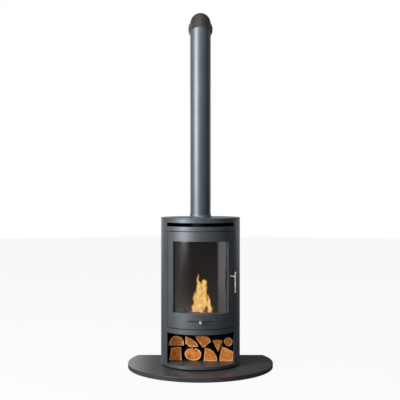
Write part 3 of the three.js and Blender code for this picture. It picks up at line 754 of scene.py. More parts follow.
def rope_tree(material):
    """A strand on every point of the carrier, turned by the point's own lean."""
    inputs = {
        "Strand Radius": ("NodeSocketFloat", 1.7 * MM),
        "Strand Length": ("NodeSocketFloat", 7.0 * MM),
    }
    tree = Tree("rope", inputs, material)
    grain = tree.node("GeometryNodeMeshUVSphere", None, {"Segments": 8, "Rings": 6, "Radius": 1.0})
    half = tree.node("ShaderNodeMath", {"operation": "MULTIPLY"}, {0: tree.inputs["Strand Length"], 1: 0.5})
    radius = tree.inputs["Strand Radius"]
    size = tree.node("ShaderNodeCombineXYZ", None, {0: radius, 1: radius, 2: half.outputs[0]})
    sockets = {"Geometry": grain.outputs[0], "Scale": size.outputs[0]}
    strand = tree.node("GeometryNodeTransform", None, sockets)
    lean = tree.node("GeometryNodeInputNamedAttribute", {"data_type": "FLOAT_VECTOR"}, {"Name": "lean"})
    scatter(tree, strand, lean.outputs[0])
    return tree


def rope_points(path, pitch, slant):
    """A carrier mesh of points round a closed loop on the body's curve, each with its strand's lean."""
    places, leans = [], []
    spare = 0.0
    for start, end in zip(path, path[1:] + path[:1]):
        along = (end - start).normalized()
        outwards = Vector((start.x, start.y, 0)).normalized()
        side = outwards.cross(along)
        strand = along * math.cos(slant) + side * math.sin(slant)
        length = (end - start).length
        while spare < length:
            places.append(start + along * spare)
            leans.append(strand.to_track_quat("Z", "Y").to_euler())
            spare += pitch
        spare -= length
    mesh = bpy.data.meshes.new("rope_points")
    mesh.from_pydata(places, [], [])
    lean = mesh.attributes.new("lean", "FLOAT_VECTOR", "POINT")
    for entry, value in zip(lean.data, leans):
        entry.vector = value
    return mesh


def line_of_points(start, end, count):
    """A carrier mesh of points, evenly spaced from start to end."""
    mesh = bpy.data.meshes.new("points")
    places = [Vector(start).lerp(Vector(end), i / (count - 1)) for i in range(count)]
    mesh.from_pydata(places, [], [])
    return mesh


# ------------------------------------------------------------------ lights
def add_light(name, kind, place, power, shade):
    data = bpy.data.lights.new(name, kind)
    data.energy = power
    data.color = shade
    light = bpy.data.objects.new(name, data)
    light.location = place
    bpy.context.scene.collection.objects.link(light)
    return light


def softbox(name, place, size, power, shade):
    """A soft rectangular light that faces the stove's axis, level unless it hangs above the stove."""
    light = add_light(name, "AREA", place, power, shade)
    light.data.shape = "RECTANGLE"
    light.data.size, light.data.size_y = size
    middle_z, overhead_z = 1.1, 2.2
    aim = Vector((0, 0, place.z if place.z < overhead_z else middle_z)) - place
    light.rotation_euler = aim.to_track_quat("-Z", "Y").to_euler()
    return light


def shine_only_on(light, pieces, state="INCLUDE"):
    """Keeps a light to a few pieces, or off them where the state is EXCLUDE."""
    receivers = bpy.data.collections.new(light.name + "_receivers")
    for piece in pieces:
        receivers.objects.link(piece)
    for entry in receivers.collection_objects:
        entry.light_linking.link_state = state
    light.light_linking.receiver_collection = receivers


# ------------------------------------------------------------------ pieces
class StovePiece:
    """What every operator here shares."""

    bl_options = {"REGISTER", "UNDO"}

    def execute(self, context):
        self.make()
        return {"FINISHED"}


class STOVE_OT_stage(StovePiece, bpy.types.Operator):
    """Pale floor, soft lights and the camera"""

    bl_idname = "stove.stage"
    bl_label = "Stage"

    # Each light: name, place, size, power, colour.
    LIGHTS = (
        ("key_light", on_arc(3.7, -49, 2.08), (1.3, 2.55), 222.0, (1.0, 0.985, 0.96)),
        ("top_light", Vector((-0.6, -1.4, 4.2)), (2.4, 2.0), 90.0, (1.0, 0.99, 0.97)),
        ("left_rim_light", on_arc(3.0, -150, 1.8), (1.2, 2.8), 8.0, (0.96, 0.98, 1.0)),
        ("right_rim_light", on_arc(3.2, 128, 1.9), (0.8, 2.6), 9.0, (0.96, 0.98, 1.0)),
        ("rear_light", Vector((0, 5.0, 1.25)), (9.0, 2.4), 60.0, WHITE),
    )
    LENS = 73.36
    EYE = (-0.003, -5.0684, 1.1115)
    EYE_TILT = 89.227
    FLOOR_RADIUS = 14
    FLOOR_WHITE = 0.93
    AMBIENT = 0.085

    def make(self):
        self.camera()
        self.floor()
        self.surroundings()
        for light in self.LIGHTS:
            softbox(*light)
        bpy.data.objects["rear_light"].visible_camera = False

    def camera(self):
        data = bpy.data.cameras.new("camera")
        data.lens = self.LENS
        data.sensor_width = 36.0
        data.clip_end = 100.0
        camera = bpy.data.objects.new("camera", data)
        camera.location = self.EYE
        camera.rotation_euler = (math.radians(self.EYE_TILT), 0.0, 0.0)
        bpy.context.scene.collection.objects.link(camera)
        bpy.context.scene.camera = camera
        bpy.context.scene.view_settings.view_transform = "Standard"

    def floor(self):
        """A plain disc, shown nearly white to the camera and left grey for the light it gives back."""
        made = bmesh.new()
        places = [on_arc(self.FLOOR_RADIUS, math.degrees(a), -0.2 * MM) for a in turns(96)]
        made.faces.new([made.verts.new(place) for place in places])
        finish = Finish("pale_floor", Roughness=0.9, Specular_IOR_Level=0.1)
        grain = finish.noise(3.0, 3.0)
        finish.put(Base_Color=finish.mix(grain, (0.46, 0.46, 0.46), (0.49, 0.49, 0.49)))
        seen = Field(finish, finish.node("ShaderNodeLightPath").outputs["Is Camera Ray"])
        backdrop = Field(finish, finish.node("ShaderNodeEmission").outputs[0])
        lit = Field(finish, finish.surface.outputs[0])
        either = finish.node("ShaderNodeMixShader", None, {0: seen * self.FLOOR_WHITE, 1: lit, 2: backdrop})
        finish.feed(finish.tree.nodes["Material Output"].inputs[0], Field(finish, either.outputs[0]))
        ground = from_bmesh("floor", made, finish.material, smooth=False)
        ground.visible_glossy = False

    def surroundings(self):
        """White behind the stove for the camera, and a dim even light for everything else."""
        world = bpy.data.worlds.new("studio")
        world.use_nodes = True
        tree = world.node_tree
        sight = tree.nodes.new("ShaderNodeLightPath")
        backdrop = tree.nodes.new("ShaderNodeBackground")
        backdrop.inputs[0].default_value = (1, 1, 1, 1)
        dim = tree.nodes["Background"]
        dim.inputs[0].default_value = (0.93, 0.96, 1.0, 1)
        dim.inputs[1].default_value = self.AMBIENT
        either = tree.nodes.new("ShaderNodeMixShader")
        tree.links.new(sight.outputs["Is Camera Ray"], either.inputs[0])
        tree.links.new(dim.outputs[0], either.inputs[1])
        tree.links.new(backdrop.outputs[0], either.inputs[2])
        tree.links.new(either.outputs[0], tree.nodes["World Output"].inputs[0])
        bpy.context.scene.world = world


class STOVE_OT_hearth(StovePiece, bpy.types.Operator):
    """The stone hearth plate"""

    bl_idname = "stove.hearth"
    bl_label = "Hearth plate"

    def make(self):
        made = bmesh.new()
        radius = high("hearth_plate").x
        centre_y = low("hearth_plate").y + radius
        outline = flat_rear_disc(radius, centre_y, high("hearth_plate").y, 1.0)
        prism(made, outline, 0.0, high("hearth_plate").z)
        piece = soften(from_bmesh("hearth_slab", made, hearth_stone()), sizes().stone_arris, 3)
        place_piece(piece, "stove", "hearth_stone", "hearth_plate")
        shine_only_on(bpy.data.objects["rear_light"], [piece], "EXCLUDE")
        left = softbox("hearth_light", Vector((-2.7, 4.6, 1.3)), (4.4, 2.4), 42.0, WHITE)
        left.visible_camera = False
        shine_only_on(left, [piece])


class STOVE_OT_casing(StovePiece, bpy.types.Operator):
    """Side panels, bands, rear panel, top plate and base plate of the body"""

    bl_idname = "stove.casing"
    bl_label = "Casing"

    # Degrees by which a side panel reaches round the rear panel's edge.
    REAR_LAP = 0.45
    LIP = 16 * MM

    def make(self):
        self.paint = stove_paint("stove_paint", look().paint)
        for side, name in ((-1, "left"), (1, "right")):
            self.side(side, name)
        for node in ("top_band", "header_band", "lower_band"):
            self.band(node)
        self.rear()
        self.lid()
        self.base()

    def keep(self, name, made, node, width=None):
        piece = soften(from_bmesh(name, made, self.paint), width or sizes().arris)
        place_piece(piece, "stove", "stove_paint", node)

    def side(self, side, name):
        made = bmesh.new()
        node = "side_panel_" + name
        angles = arc_steps(JAMB_ANGLE, JAMB_ANGLE + FOLD, REAR_ANGLE + self.REAR_LAP)
        if side < 0:
            angles = [-angle for angle in reversed(angles)]
        radii = [BODY_RADIUS - JAMB_DEPTH, INNER_RADIUS, BODY_RADIUS]

        def filled(r, a, z):
            return r > INNER_RADIUS or (abs(a) < JAMB_ANGLE + FOLD and STORE_TOP_Z < z < JAMB_TOP_Z)

        rolled(made, radii, angles, [low(node).z, STORE_TOP_Z, JAMB_TOP_Z, high(node).z], filled)
        self.keep("casing_" + name, made, node)

    def band(self, node):
        made = bmesh.new()
        angles = arc_steps(-BAND_ANGLE, BAND_ANGLE)
        rolled(made, [INNER_RADIUS, BODY_RADIUS], angles, [low(node).z, high(node).z])
        self.keep("front_" + node, made, node)

    def rear(self):
        made = bmesh.new()
        near, far = low("rear_panel"), high("rear_panel")
        squared(made, [near.x, far.x], [near.y, far.y], [near.z, far.z])
        self.keep("rear_cover", made, "rear_panel")

    def lid(self):
        made = bmesh.new()
        hole = high("flue_spigot").x + 1 * MM
        outline = flat_rear_disc(BODY_RADIUS, 0.0, high("top_plate").y)
        prism(made, outline, low("top_plate").z, high("top_plate").z, [(0.0, 0.0, hole)])
        self.keep("top_lid", made, "top_plate", 1.2 * MM)

    def base(self):
        made = bmesh.new()
        floor_low = STORE_FLOOR_Z - SHEET
        inner = BODY_RADIUS - self.LIP
        radii = [inner, INNER_RADIUS, BODY_RADIUS]
        levels = [low("base_plate").z, floor_low, STORE_FLOOR_Z]

        def filled(r, a, z):
            return r > INNER_RADIUS or z > floor_low

        rolled(made, radii, arc_steps(-BAND_ANGLE, BAND_ANGLE), levels, filled)
        prism(made, flat_rear_disc(inner - 0.2 * MM, 0.0, high("base_plate").y), floor_low, STORE_FLOOR_Z)
        self.keep("base_tray", made, "base_plate")


class STOVE_OT_door(StovePiece, bpy.types.Operator):
    """The door's painted frame, its inner panel, and the fixed frame that it closes on"""

    bl_idname = "stove.door"
    bl_label = "Door"

    # The inner panel: its depth behind the door's face, its sheet, its step over the glass, its grip on it.
    PANEL_DEPTH = 19.7 * MM
    PANEL_SHEET = 3.4 * MM
    PANEL_STEP = 6.4 * MM
    GRIP = 7 * MM
    # The fixed frame: its depth behind the door's face, and its three openings.
    FRAME_DEPTH = 24 * MM
    ASH_DOOR = {"angle": 34.6, "low": 287.5 * MM, "high": 318.3 * MM}
    LATCH_HOLE = {"from": 45.5, "to": 54.8, "low": 560 * MM, "high": 628 * MM}
    FIRE_DOOR = {"low": 330 * MM, "high": 835 * MM}

    def make(self):
        self.shell()
        self.inner_panel()
        self.fixed_frame()

    @staticmethod
    def in_window(angle, z):
        return abs(angle) < WINDOW["angle"] and WINDOW["low"] < z < WINDOW["high"]

    def shell(self):
        made = bmesh.new()
        bottom, top = low("door_frame").z, high("door_frame").z
        slot = [AIR_SLOT["z"] - AIR_SLOT["height"] / 2, AIR_SLOT["z"] + AIR_SLOT["height"] / 2]
        halves = [AIR_SLOT["angle"], WINDOW["angle"], DOOR_ANGLE - FOLD, DOOR_ANGLE]
        angles = arc_steps(*[-a for a in reversed(halves)], *halves)
        levels = [bottom, bottom + SHEET, *slot, WINDOW["low"], WINDOW["high"], top - SHEET, top]

        def filled(r, a, z):
            if r < INNER_RADIUS:
                return abs(a) > DOOR_ANGLE - FOLD or z < bottom + SHEET or z > top - SHEET
            in_slot = abs(a) < AIR_SLOT["angle"] and slot[0] < z < slot[1]
            return not (in_slot or self.in_window(a, z))

        rolled(made, [BODY_RADIUS - DOOR_DEPTH, INNER_RADIUS, BODY_RADIUS], angles, levels, filled)
        paint = stove_paint("door_paint", look().paint)
        piece = soften(from_bmesh("door_shell", made, paint), sizes().arris)
        place_piece(piece, "door", "stove_paint", "door_frame")

    def inner_panel(self):
        made = bmesh.new()
        inner = BODY_RADIUS - self.PANEL_DEPTH
        sheet, clamp = inner + self.PANEL_SHEET, inner + self.PANEL_STEP
        grip = math.degrees(self.GRIP / inner)
        bottom, top = low("door_liner").z, high("door_liner").z
        halves = [WINDOW["angle"], WINDOW["angle"] + grip, DOOR_ANGLE]
        angles = arc_steps(*[-a for a in reversed(halves)], *halves)
        levels = [bottom, WINDOW["low"] - self.GRIP, WINDOW["low"]]
        levels += [WINDOW["high"], WINDOW["high"] + self.GRIP, top]

        def filled(r, a, z):
            if self.in_window(a, z):
                return False
            near = abs(a) < halves[1] and levels[1] < z < levels[4]
            return r < sheet or near

        rolled(made, [inner, sheet, clamp], angles, levels, filled)
        piece = soften(from_bmesh("door_inner_panel", made, inner_steel()), 0.7 * MM)
        place_piece(piece, "door", "inner_steel", "door_liner")

    def fixed_frame(self):
        made = bmesh.new()
        outer = BODY_RADIUS - self.FRAME_DEPTH
        ash, latch, fire = self.ASH_DOOR, self.LATCH_HOLE, self.FIRE_DOOR
        bottom, top = low("front_frame").z, high("front_frame").z
        breaks = [-BAND_ANGLE, -WINDOW["angle"], -ash["angle"], ash["angle"], WINDOW["angle"]]
        angles = arc_steps(*breaks, latch["from"], latch["to"], BAND_ANGLE)
        levels = [bottom, ash["low"], ash["high"], fire["low"]]
        levels += [latch["low"], latch["high"], fire["high"], top]

        def filled(r, a, z):
            in_fire = abs(a) < WINDOW["angle"] and fire["low"] < z < fire["high"]
            in_ash = abs(a) < ash["angle"] and ash["low"] < z < ash["high"]
            in_latch = latch["from"] < a < latch["to"] and latch["low"] < z < latch["high"]
            return not (in_fire or in_ash or in_latch)

        rolled(made, [outer - SHEET, outer], angles, levels, filled)
        piece = soften(from_bmesh("fixed_frame", made, inner_steel()), 0.7 * MM)
        place_piece(piece, "stove", "inner_steel", "front_frame")


class STOVE_OT_glass(StovePiece, bpy.types.Operator):
    """The curved window pane"""

    bl_idname = "stove.glass"
    bl_label = "Window glass"

    def make(self):
        made = bmesh.new()
        outer = BODY_RADIUS - 9 * MM
        reach = WINDOW["angle"] + 2.6
        levels = [low("door_glass").z, high("door_glass").z]
        rolled(made, [outer - SHEET, outer], arc_steps(-reach, reach), levels)
        piece = soften(from_bmesh("window_pane", made, window_glass()), 0.5 * MM)
        place_piece(piece, "door", "stove_glass", "door_glass")
        right = ("window_light", on_arc(4.2, 72, 0.6), (2.9, 3.2), 24.0, (0.97, 0.97, 1.0))
        left = ("far_window_light", on_arc(4.2, -70, 0.6), (2.6, 3.2), 4.0, (1.0, 0.94, 0.90))
        for light in (right, left):
            shine_only_on(softbox(*light), [piece])


class STOVE_OT_seals(StovePiece, bpy.types.Operator):
    """The rope seal on the back of the door"""

    bl_idname = "stove.seals"
    bl_label = "Rope seals"

    def make(self):
        finish = rope_seal()
        radius = BODY_RADIUS - 21.85 * MM
        reach = half_angle("door_gasket", BODY_RADIUS - 20 * MM) - 0.8
        bottom, top = low("door_gasket").z + 3.2 * MM, high("door_gasket").z - 3.2 * MM
        across = [on_arc(radius, a, bottom) for a in arc_steps(-reach, reach)]
        back = [on_arc(radius, a, top) for a in reversed(arc_steps(-reach, reach))]
        carrier = rope_points(across + back, 2.4 * MM, math.radians(40))
        piece = rope_tree(finish).build("door_rope", carrier, Strand_Radius=sizes().rope)
        place_piece(piece, "door", "rope_seal", "door_gasket")
        dress(["glass_gasket"], finish)


class STOVE_OT_handle(StovePiece, bpy.types.Operator):
    """The upright handle bar, its spindle, and the bush on the door"""

    bl_idname = "stove.handle"
    bl_label = "Handle"

    STEM = 5 * MM
    STEM_FOOT = 199.5 * MM

    def make(self):
        near, far = low("handle_bar"), high("handle_bar")
        centre = (near + far) / 2
        self.grip(near, far, centre)
        self.stem(Vector((centre.x, centre.y, 0)).length)
        self.bush()

    @staticmethod
    def turned(name, profile, place, sides, finish, width, closed=False):
        made = bmesh.new()
        lathe(made, profile, place, sides, closed)
        return soften(from_bmesh(name, made, finish), width)

    def grip(self, near, far, centre):
        radius, ends = (far.x - near.x) / 2, 1.6 * MM
        side = radius - ends
        profile = [(0.0, near.z)]
        profile += [(side + ends * math.sin(a), near.z + ends - ends * math.cos(a)) for a in quarter(6)]
        profile += [(side + ends * math.cos(a), far.z - ends + ends * math.sin(a)) for a in quarter(6)]
        profile.append((0.0, far.z))
        steel = bright_steel("bar_steel", (900.0, 900.0, 22.0))
        piece = self.turned("handle_grip", profile, upright(centre.x, centre.y), 48, steel, 0.2 * MM)
        place_piece(piece, "handle", "bright_steel", "handle_bar")

    def stem(self, reach):
        stem, neck = self.STEM, BODY_RADIUS + 2 * MM
        profile = [
            (0.0, self.STEM_FOOT),
            (stem, self.STEM_FOOT),
            (stem, neck),
            (stem + 0.9 * MM, neck + 0.6 * MM),
            (stem + 0.9 * MM, neck + 3.0 * MM),
            (stem - 0.2 * MM, neck + 4.2 * MM),
            (stem - 0.2 * MM, reach - 1 * MM),
            (0.0, reach - 1 * MM),
        ]
        steel = bright_steel("stem_steel", (420.0, 420.0, 420.0))
        place = outward(HANDLE_ANGLE, SPINDLE.z)
        piece = self.turned("handle_stem", profile, place, 40, steel, 0.25 * MM)
        place_piece(piece, "handle", "bright_steel", "handle_spindle")

    def bush(self):
        bush, bore = 9 * MM, self.STEM + 0.3 * MM
        foot, face = BODY_RADIUS - 0.2 * MM, BODY_RADIUS + 2 * MM
        edge = 0.7 * MM
        profile = [(bore, foot), (bush, foot), (bush, face - edge), (bush - edge, face), (bore, face)]
        paint = stove_paint("bush_paint", look().paint)
        place = outward(HANDLE_ANGLE, SPINDLE.z)
        piece = self.turned("handle_collar", profile, place, 48, paint, 0.3 * MM, closed=True)
        place_piece(piece, "door", "stove_paint", "handle_bush")


class STOVE_OT_air_control(StovePiece, bpy.types.Operator):
    """The knob of the air control"""

    bl_idname = "stove.air_control"
    bl_label = "Air control"

    def make(self):
        near, tip = BODY_RADIUS - 5.3 * MM, -low("air_knob").y
        radius, stem = high("air_knob").x, 2.4 * MM
        head = BODY_RADIUS + 9 * MM
        crown = 2.5 * MM
        rim = tip - crown
        profile = [
            (0.0, near),
            (stem, near),
            (stem, head - 1 * MM),
            (radius * 0.62, head),
            (radius * 0.80, head + 5 * MM),
            (radius - 0.3 * MM, head + 9 * MM),
            (radius, head + 12 * MM),
            (radius, rim - 3 * MM),
            (radius - 0.5 * MM, rim - 2 * MM),
            (radius, rim - 1 * MM),
        ]
        profile += [(radius - crown + crown * math.cos(a), rim + crown * math.sin(a)) for a in quarter(6)]
        profile += [(radius * 0.45, tip - 0.3 * MM), (0.0, tip - 0.6 * MM)]
        made = bmesh.new()
        lathe(made, profile, outward(0.0, AIR_SLOT["z"]), 48)
        steel = bright_steel("knob_steel", (60.0, 60.0, 60.0), 0.36)
        piece = soften(from_bmesh("air_knob_turned", made, steel), 0.2 * MM)
        place_piece(piece, "air_control", "bright_steel", "air_knob")
        lamp = softbox("steel_light", Vector((-1.2, -3.6, 1.4)), (2.2, 2.0), 70.0, WHITE)
        shine_only_on(lamp, [piece, bpy.data.objects["handle_grip"], bpy.data.objects["handle_stem"]])


class STOVE_OT_firebox(StovePiece, bpy.types.Operator):
    """The brick lining"""

    bl_idname = "stove.firebox"
    bl_label = "Firebox lining"

    JOINT_SHARE = 0.27

    def make(self):
        brick = firebrick()
        for node in ("lining_left", "lining_right", "lining_back"):
            self.courses(node, brick)
        dress(["base_brick_left", "base_brick_right", "baffle"], brick)

    def courses(self, node, brick):
        """Two boards, one above the other, with a fine joint."""
        made = bmesh.new()
        near, far = low(node), high(node)
        middle, joint = near.z + self.JOINT_SHARE * (far.z - near.z), 0.2 * MM
        for bottom, top in ((near.z, middle - joint), (middle + joint, far.z)):
            squared(made, [near.x, far.x], [near.y, far.y], [bottom, top])
        piece = soften(from_bmesh(node.replace("lining", "bricks"), made, brick), 1.0 * MM)
        place_piece(piece, "stove", "firebrick", node)


class STOVE_OT_flue(StovePiece, bpy.types.Operator):
    """The flue pipe, its mitred bend, the collar and the wall plate"""

    bl_idname = "stove.flue"
    bl_label = "Flue"

    BEAD = 1.5 * MM
    MITRE_ANGLE = 22.5

    def make(self):
        self.paint = stove_paint("flue_paint", look().flue_paint)
        lean = math.radians(self.MITRE_ANGLE)
        mitre = Vector((0, math.sin(lean), math.cos(lean)))
        foot = Vector((0, 0, low("flue_pipe").z))
        bend = Vector((0, 0, MITRE_Z))
        second = Vector((0, MITRE_TURN, ELBOW_Z))
        wall = Vector((0, WALL_Y, ELBOW_Z))
        self.tube("flue_riser", [foot, bend], None, mitre, "flue_pipe")
        # The bend gets its own darker, warmer paint: a painted reflection of a warm brown ceiling.
        self.paint = stove_paint("bend_paint", look().bend_paint)
        self.tube("flue_bend", [bend + mitre * 0.3 * MM, second, wall], mitre, None, "flue_elbow")
        self.plate()
        self.paint = stove_paint("collar_paint", look().flue_paint)
        self.collar()

    def keep(self, name, made, node, width):
        piece = soften(from_bmesh(name, made, self.paint), width)
        place_piece(piece, "stove", "flue_paint", node)

    def tube(self, name, path, start, end, node):
        """A pipe with a wall, through points in the plane x = 0, with a weld bead round each mitre."""
        made = bmesh.new()
        sides = 120
        legs = [(b - a).normalized() for a, b in zip(path, path[1:])]
        rings = []
        for i, point in enumerate(path):
            before, after = legs[max(i - 1, 0)], legs[min(i, len(legs) - 1)]
            normal = (before + after).normalized()
            if start and i == 0:
                normal = start
            if end and i == len(path) - 1:
                normal = end
            across = Vector((0, -normal.z, normal.y)) / abs(normal.dot(after))
            rings.append((point, across))

        def ring(entry, radius):
            return [made.verts.new(self.round_point(entry, radius, a)) for a in turns(sides)]

        walls = [ring(entry, PIPE_RADIUS) for entry in rings]
        walls += [ring(entry, PIPE_RADIUS - PIPE_WALL) for entry in reversed(rings)]
        skin(made, walls, closed=True)
        bmesh.ops.recalc_face_normals(made, faces=made.faces)
        for entry in rings[1:-1] if start else rings[-1:]:
            self.bead(made, entry, sides)
        self.keep(name, made, node, 0.4 * MM)

    @staticmethod
    def round_point(entry, radius, angle):
        """A point on the ellipse where the pipe crosses a mitre."""
        point, across = entry
        return point + Vector((radius * math.cos(angle), 0, 0)) + across * radius * math.sin(angle)

    def bead(self, made, entry, sides):
        """A low weld bead round a mitre, with the ripple of the weld."""
        across = entry[1]
        along = Vector((0, across.z, -across.y)).normalized()
        grid = []
        for k, a in enumerate(turns(sides * 2)):
            out = (Vector((math.cos(a), 0, 0)) + across * math.sin(a)).normalized()
            centre = self.round_point(entry, PIPE_RADIUS, a)
            swell = self.BEAD * (0.85 + 0.15 * math.cos(k * math.pi / 2))
            ways = [out * 0.7 * math.cos(b) + along * math.sin(b) for b in turns(8)]
            grid.append([made.verts.new(centre + swell * way) for way in ways])
        skin(made, grid, closed=True)
        bmesh.ops.recalc_face_normals(made, faces=made.faces)

    def collar(self):
        foot, top = low("flue_collar").z, high("flue_collar").z
        wide, bore = high("flue_collar").x, PIPE_RADIUS + 0.5 * MM
        lip = 1.5 * MM
        profile = [(bore, foot), (wide, foot)]
        profile += fillet(wide, foot + 2 * MM, bore + lip, top)
        profile += [(bore, top)]
        made = bmesh.new()
        lathe(made, profile, upright(), 96, closed=True)
        self.keep("flue_trim", made, "flue_collar", 0.4 * MM)

    def plate(self):
        wide, bore = high("wall_rosette").x, PIPE_RADIUS + 0.5 * MM
        front = WALL_Y - low("wall_rosette").y
        profile = [(bore, 0.0), (wide, 0.0)]
        profile += fillet(wide, 3 * MM, wide - 6 * MM, front, 6)
        profile += [(bore, front)]
        made = bmesh.new()
        lathe(made, profile, lambda u, v, h: Vector((u, WALL_Y - h, ELBOW_Z + v)), 96, closed=True)
        self.keep("flue_wall_plate", made, "wall_rosette", 0.4 * MM)


class STOVE_OT_screws(StovePiece, bpy.types.Operator):
    """The screws of the rear panel and the wall plate"""

    bl_idname = "stove.screws"
    bl_label = "Screws"

    def make(self):
        steel = inner_steel()
        tree = screw_tree(steel)
        near, far = low("rear_panel"), high("rear_panel")
        inset, end = 10 * MM, 40 * MM
        rows = []
        for x in (near.x + inset, far.x - inset):
            carrier = line_of_points((x, far.y, near.z + end), (x, far.y, far.z - end), 7)
            rows.append(tree.build("row", carrier, Turn=(-math.pi / 2, 0.0, 0.0)))
        self.joined("rear_screws", rows)
        ring = high("wall_rosette").x - 7 * MM
        front = low("wall_rosette").y
        angles = [math.pi / 4 + a for a in turns(4)]
        points = [(ring * math.cos(a), front, ELBOW_Z + ring * math.sin(a)) for a in angles]
        carrier = bpy.data.meshes.new("ring")
        carrier.from_pydata(points, [], [])
        small = {"Head_Radius": 3.2 * MM, "Head_Height": 2.0 * MM}
        heads = tree.build("row", carrier, Turn=(math.pi / 2, 0.0, 0.0), **small)
        self.joined("wall_plate_screws", [heads])

    @staticmethod
    def joined(name, rows):
        made = bmesh.new()
        for row in rows:
            made.from_mesh(row.data)
        material = rows[0].data.materials[0]
        for row in rows:
            bpy.data.objects.remove(row)
        place_piece(from_bmesh(name, made, material), "stove", "inner_steel")


class STOVE_OT_firewood(StovePiece, bpy.types.Operator):
    """The split logs in the store"""

    bl_idname = "stove.firewood"
    bl_label = "Firewood"

    # A side of the outline shorter than this is a piece of the round bark; a longer one is a split face.
    BARK_EDGE = 45 * MM
    # The log with a notch at its top and a crack across its end.
    NOTCHED = 1
    NOTCH_DEPTH = 18 * MM
    CRACK_WAYS = (-142, 44)
    CRACK_DEPTHS = (16 * MM, 11 * MM, 4 * MM)
    PLAIN_CRACK_DEPTHS = (8 * MM, 3 * MM)
    # Rings of the end face: first by depth from the edge, then by share of the log's mean radius.
    RIM_DEPTHS = (1.2 * MM, 3.4 * MM, 4.6 * MM, 6.2 * MM, 9.0 * MM)
    INNER_SHARES = (0.30, 0.42, 0.54, 0.66, 0.78, 0.90)
    RIM_WIDTH = 7.5 * MM
    CHAMFER = 1.2 * MM

    def make(self):
        wood = firewood()
        nodes = sorted(name for name in frame["nodes"] if name.startswith("firewood_log_"))
        logs = []
        for number, node in enumerate(nodes):
            ring = self.sampled(self.outline(node))
            logs.append(self.split_log(node, number, ring, wood))
            place_piece(logs[-1], "stove", "firewood", node)
        front = softbox("store_light", Vector((-0.15, -3.2, 0.6)), (1.6, 1.0), 27.0, (1.0, 0.96, 0.9))
        shine_only_on(front, logs)

    @staticmethod
    def outline(node):
        """The corners of the node's front face, in order."""
        copy = bmesh.new()
        copy.from_mesh(frame["nodes"][node].data)
        bmesh.ops.remove_doubles(copy, verts=copy.verts, dist=0.01 * MM)
        copy.normal_update()
        # A list keeps the mesh's order, so that the outline starts at the same corner in every run.
        front = [face for face in copy.faces if face.normal.y < -0.9]
        beside = {}
        for face in front:
            for edge in face.edges:
                if sum(joined in front for joined in edge.link_faces) == 1:
                    for one, other in (edge.verts, reversed(edge.verts)):
                        beside.setdefault(one, []).append(other)
        first = next(iter(beside))
        ring, last = [first], None
        while len(ring) < len(beside):
            here = ring[-1]
            nearby = [v for v in beside[here] if v != last]
            last = here
            ring.append(nearby[0])
        corners = [Vector((v.co.x, v.co.z)) for v in ring]
        copy.free()
        area = sum(a.x * b.y - b.x * a.y for a, b in zip(corners, corners[1:] + corners[:1]))
        return corners if area > 0 else corners[::-1]

    def sampled(self, corners):
        """Close points round the outline, each with 1 for bark or 0 for a split face."""
        step, smoothings = 2.6 * MM, 5
        places, marks = [], []
        for a, b in zip(corners, corners[1:] + corners[:1]):
            count = max(1, round((b - a).length / step))
            for i in range(count):
                places.append(a.lerp(b, i / count))
                marks.append(1.0 if (b - a).length < self.BARK_EDGE else 0.0)
        for _ in range(smoothings):
            eased = []
            for i, here in enumerate(places):
                middle = (places[i - 1] + places[(i + 1) % len(places)]) / 2
                eased.append(here.lerp(middle, 0.5))
            places = eased
        return list(zip(places, marks))

    @staticmethod
    def pith(ring):
        """The centre of the circle that fits the bark best."""
        points = [place for place, mark in ring if mark > 0.5] or [place for place, mark in ring]
        rows = [(p.x, p.y, 1.0, -(p.x**2 + p.y**2)) for p in points]
        normal = Matrix([[sum(r[i] * r[j] for r in rows) for j in range(3)] for i in range(3)])
        right = Vector([sum(r[i] * r[3] for r in rows) for i in range(3)])
        solved = normal.inverted() @ right
        return Vector((-solved[0] / 2, -solved[1] / 2))

    def split_log(self, node, number, ring, wood):
        near, far = low(node).y, high(node).y
        pith = self.pith(ring)
        centre = sum((place for place, mark in ring), Vector((0, 0))) / len(ring)
        reach = sum((place - centre).length for place, mark in ring) / len(ring)
        made = bmesh.new()
        layers = {name: made.verts.layers.float.new(name) for name in ("bark", "ring", "tint", "end")}
        tint = (number * 0.37) % 1.0
        seed = Vector((7.1 * number, 3.3 * number, 1.7 * number))
        count = len(ring)
        outward_ways = []
        for i in range(count):
            along = ring[(i + 1) % count][0] - ring[i - 1][0]
            outward_ways.append(Vector((along.y, -along.x)).normalized())

        def vertex(place, y, bark, end):
            made_one = made.verts.new((place.x, y, place.y))
            values = {"bark": bark, "ring": (place - pith).length, "tint": tint, "end": end}
            for name, value in values.items():
                made_one[layers[name]] = value
            return made_one

        def skin_place(i, y, inset):
            place, mark = ring[i]
            at = Vector((place.x, y * 0.28, place.y)) + seed
            if mark > 0.5:
                ridge = 1 - abs(noise.noise(Vector((at.x * 95, at.y * 60, at.z * 95)))) * 2
                lift = 1.6 * MM * (ridge - 0.6) + 2.2 * MM * noise.noise(at * 26)
            else:
                lift = 2.4 * MM * noise.noise(Vector((at.x * 40, at.y * 22, at.z * 40)))
                lift += 0.9 * MM * noise.noise(Vector((at.x * 210, at.y * 30, at.z * 210)))
            if number == self.NOTCHED and place.y > centre.y:
                lift -= max(0.0, self.NOTCH_DEPTH - abs(place.x - centre.x - 5 * MM) * 2.2)
            return place + outward_ways[i] * (lift - inset)

        def end_place(i, depth):
            place = skin_place(i, near, self.CHAMFER)
            return place.lerp(centre, min(0.97, depth / reach))

        stations = 26
        lengths = [near, near + self.CHAMFER, near + 4 * MM]
        lengths += [near + (far - near) * k / stations for k in range(1, stations)]
        lengths += [far - self.CHAMFER, far]
        rows = []
        for y in lengths:
            inset = self.CHAMFER if y in (near, far) else 0.0
            rows.append([vertex(skin_place(i, y, inset), y, ring[i][1], 0.0) for i in range(count)])
        skin(made, rows)

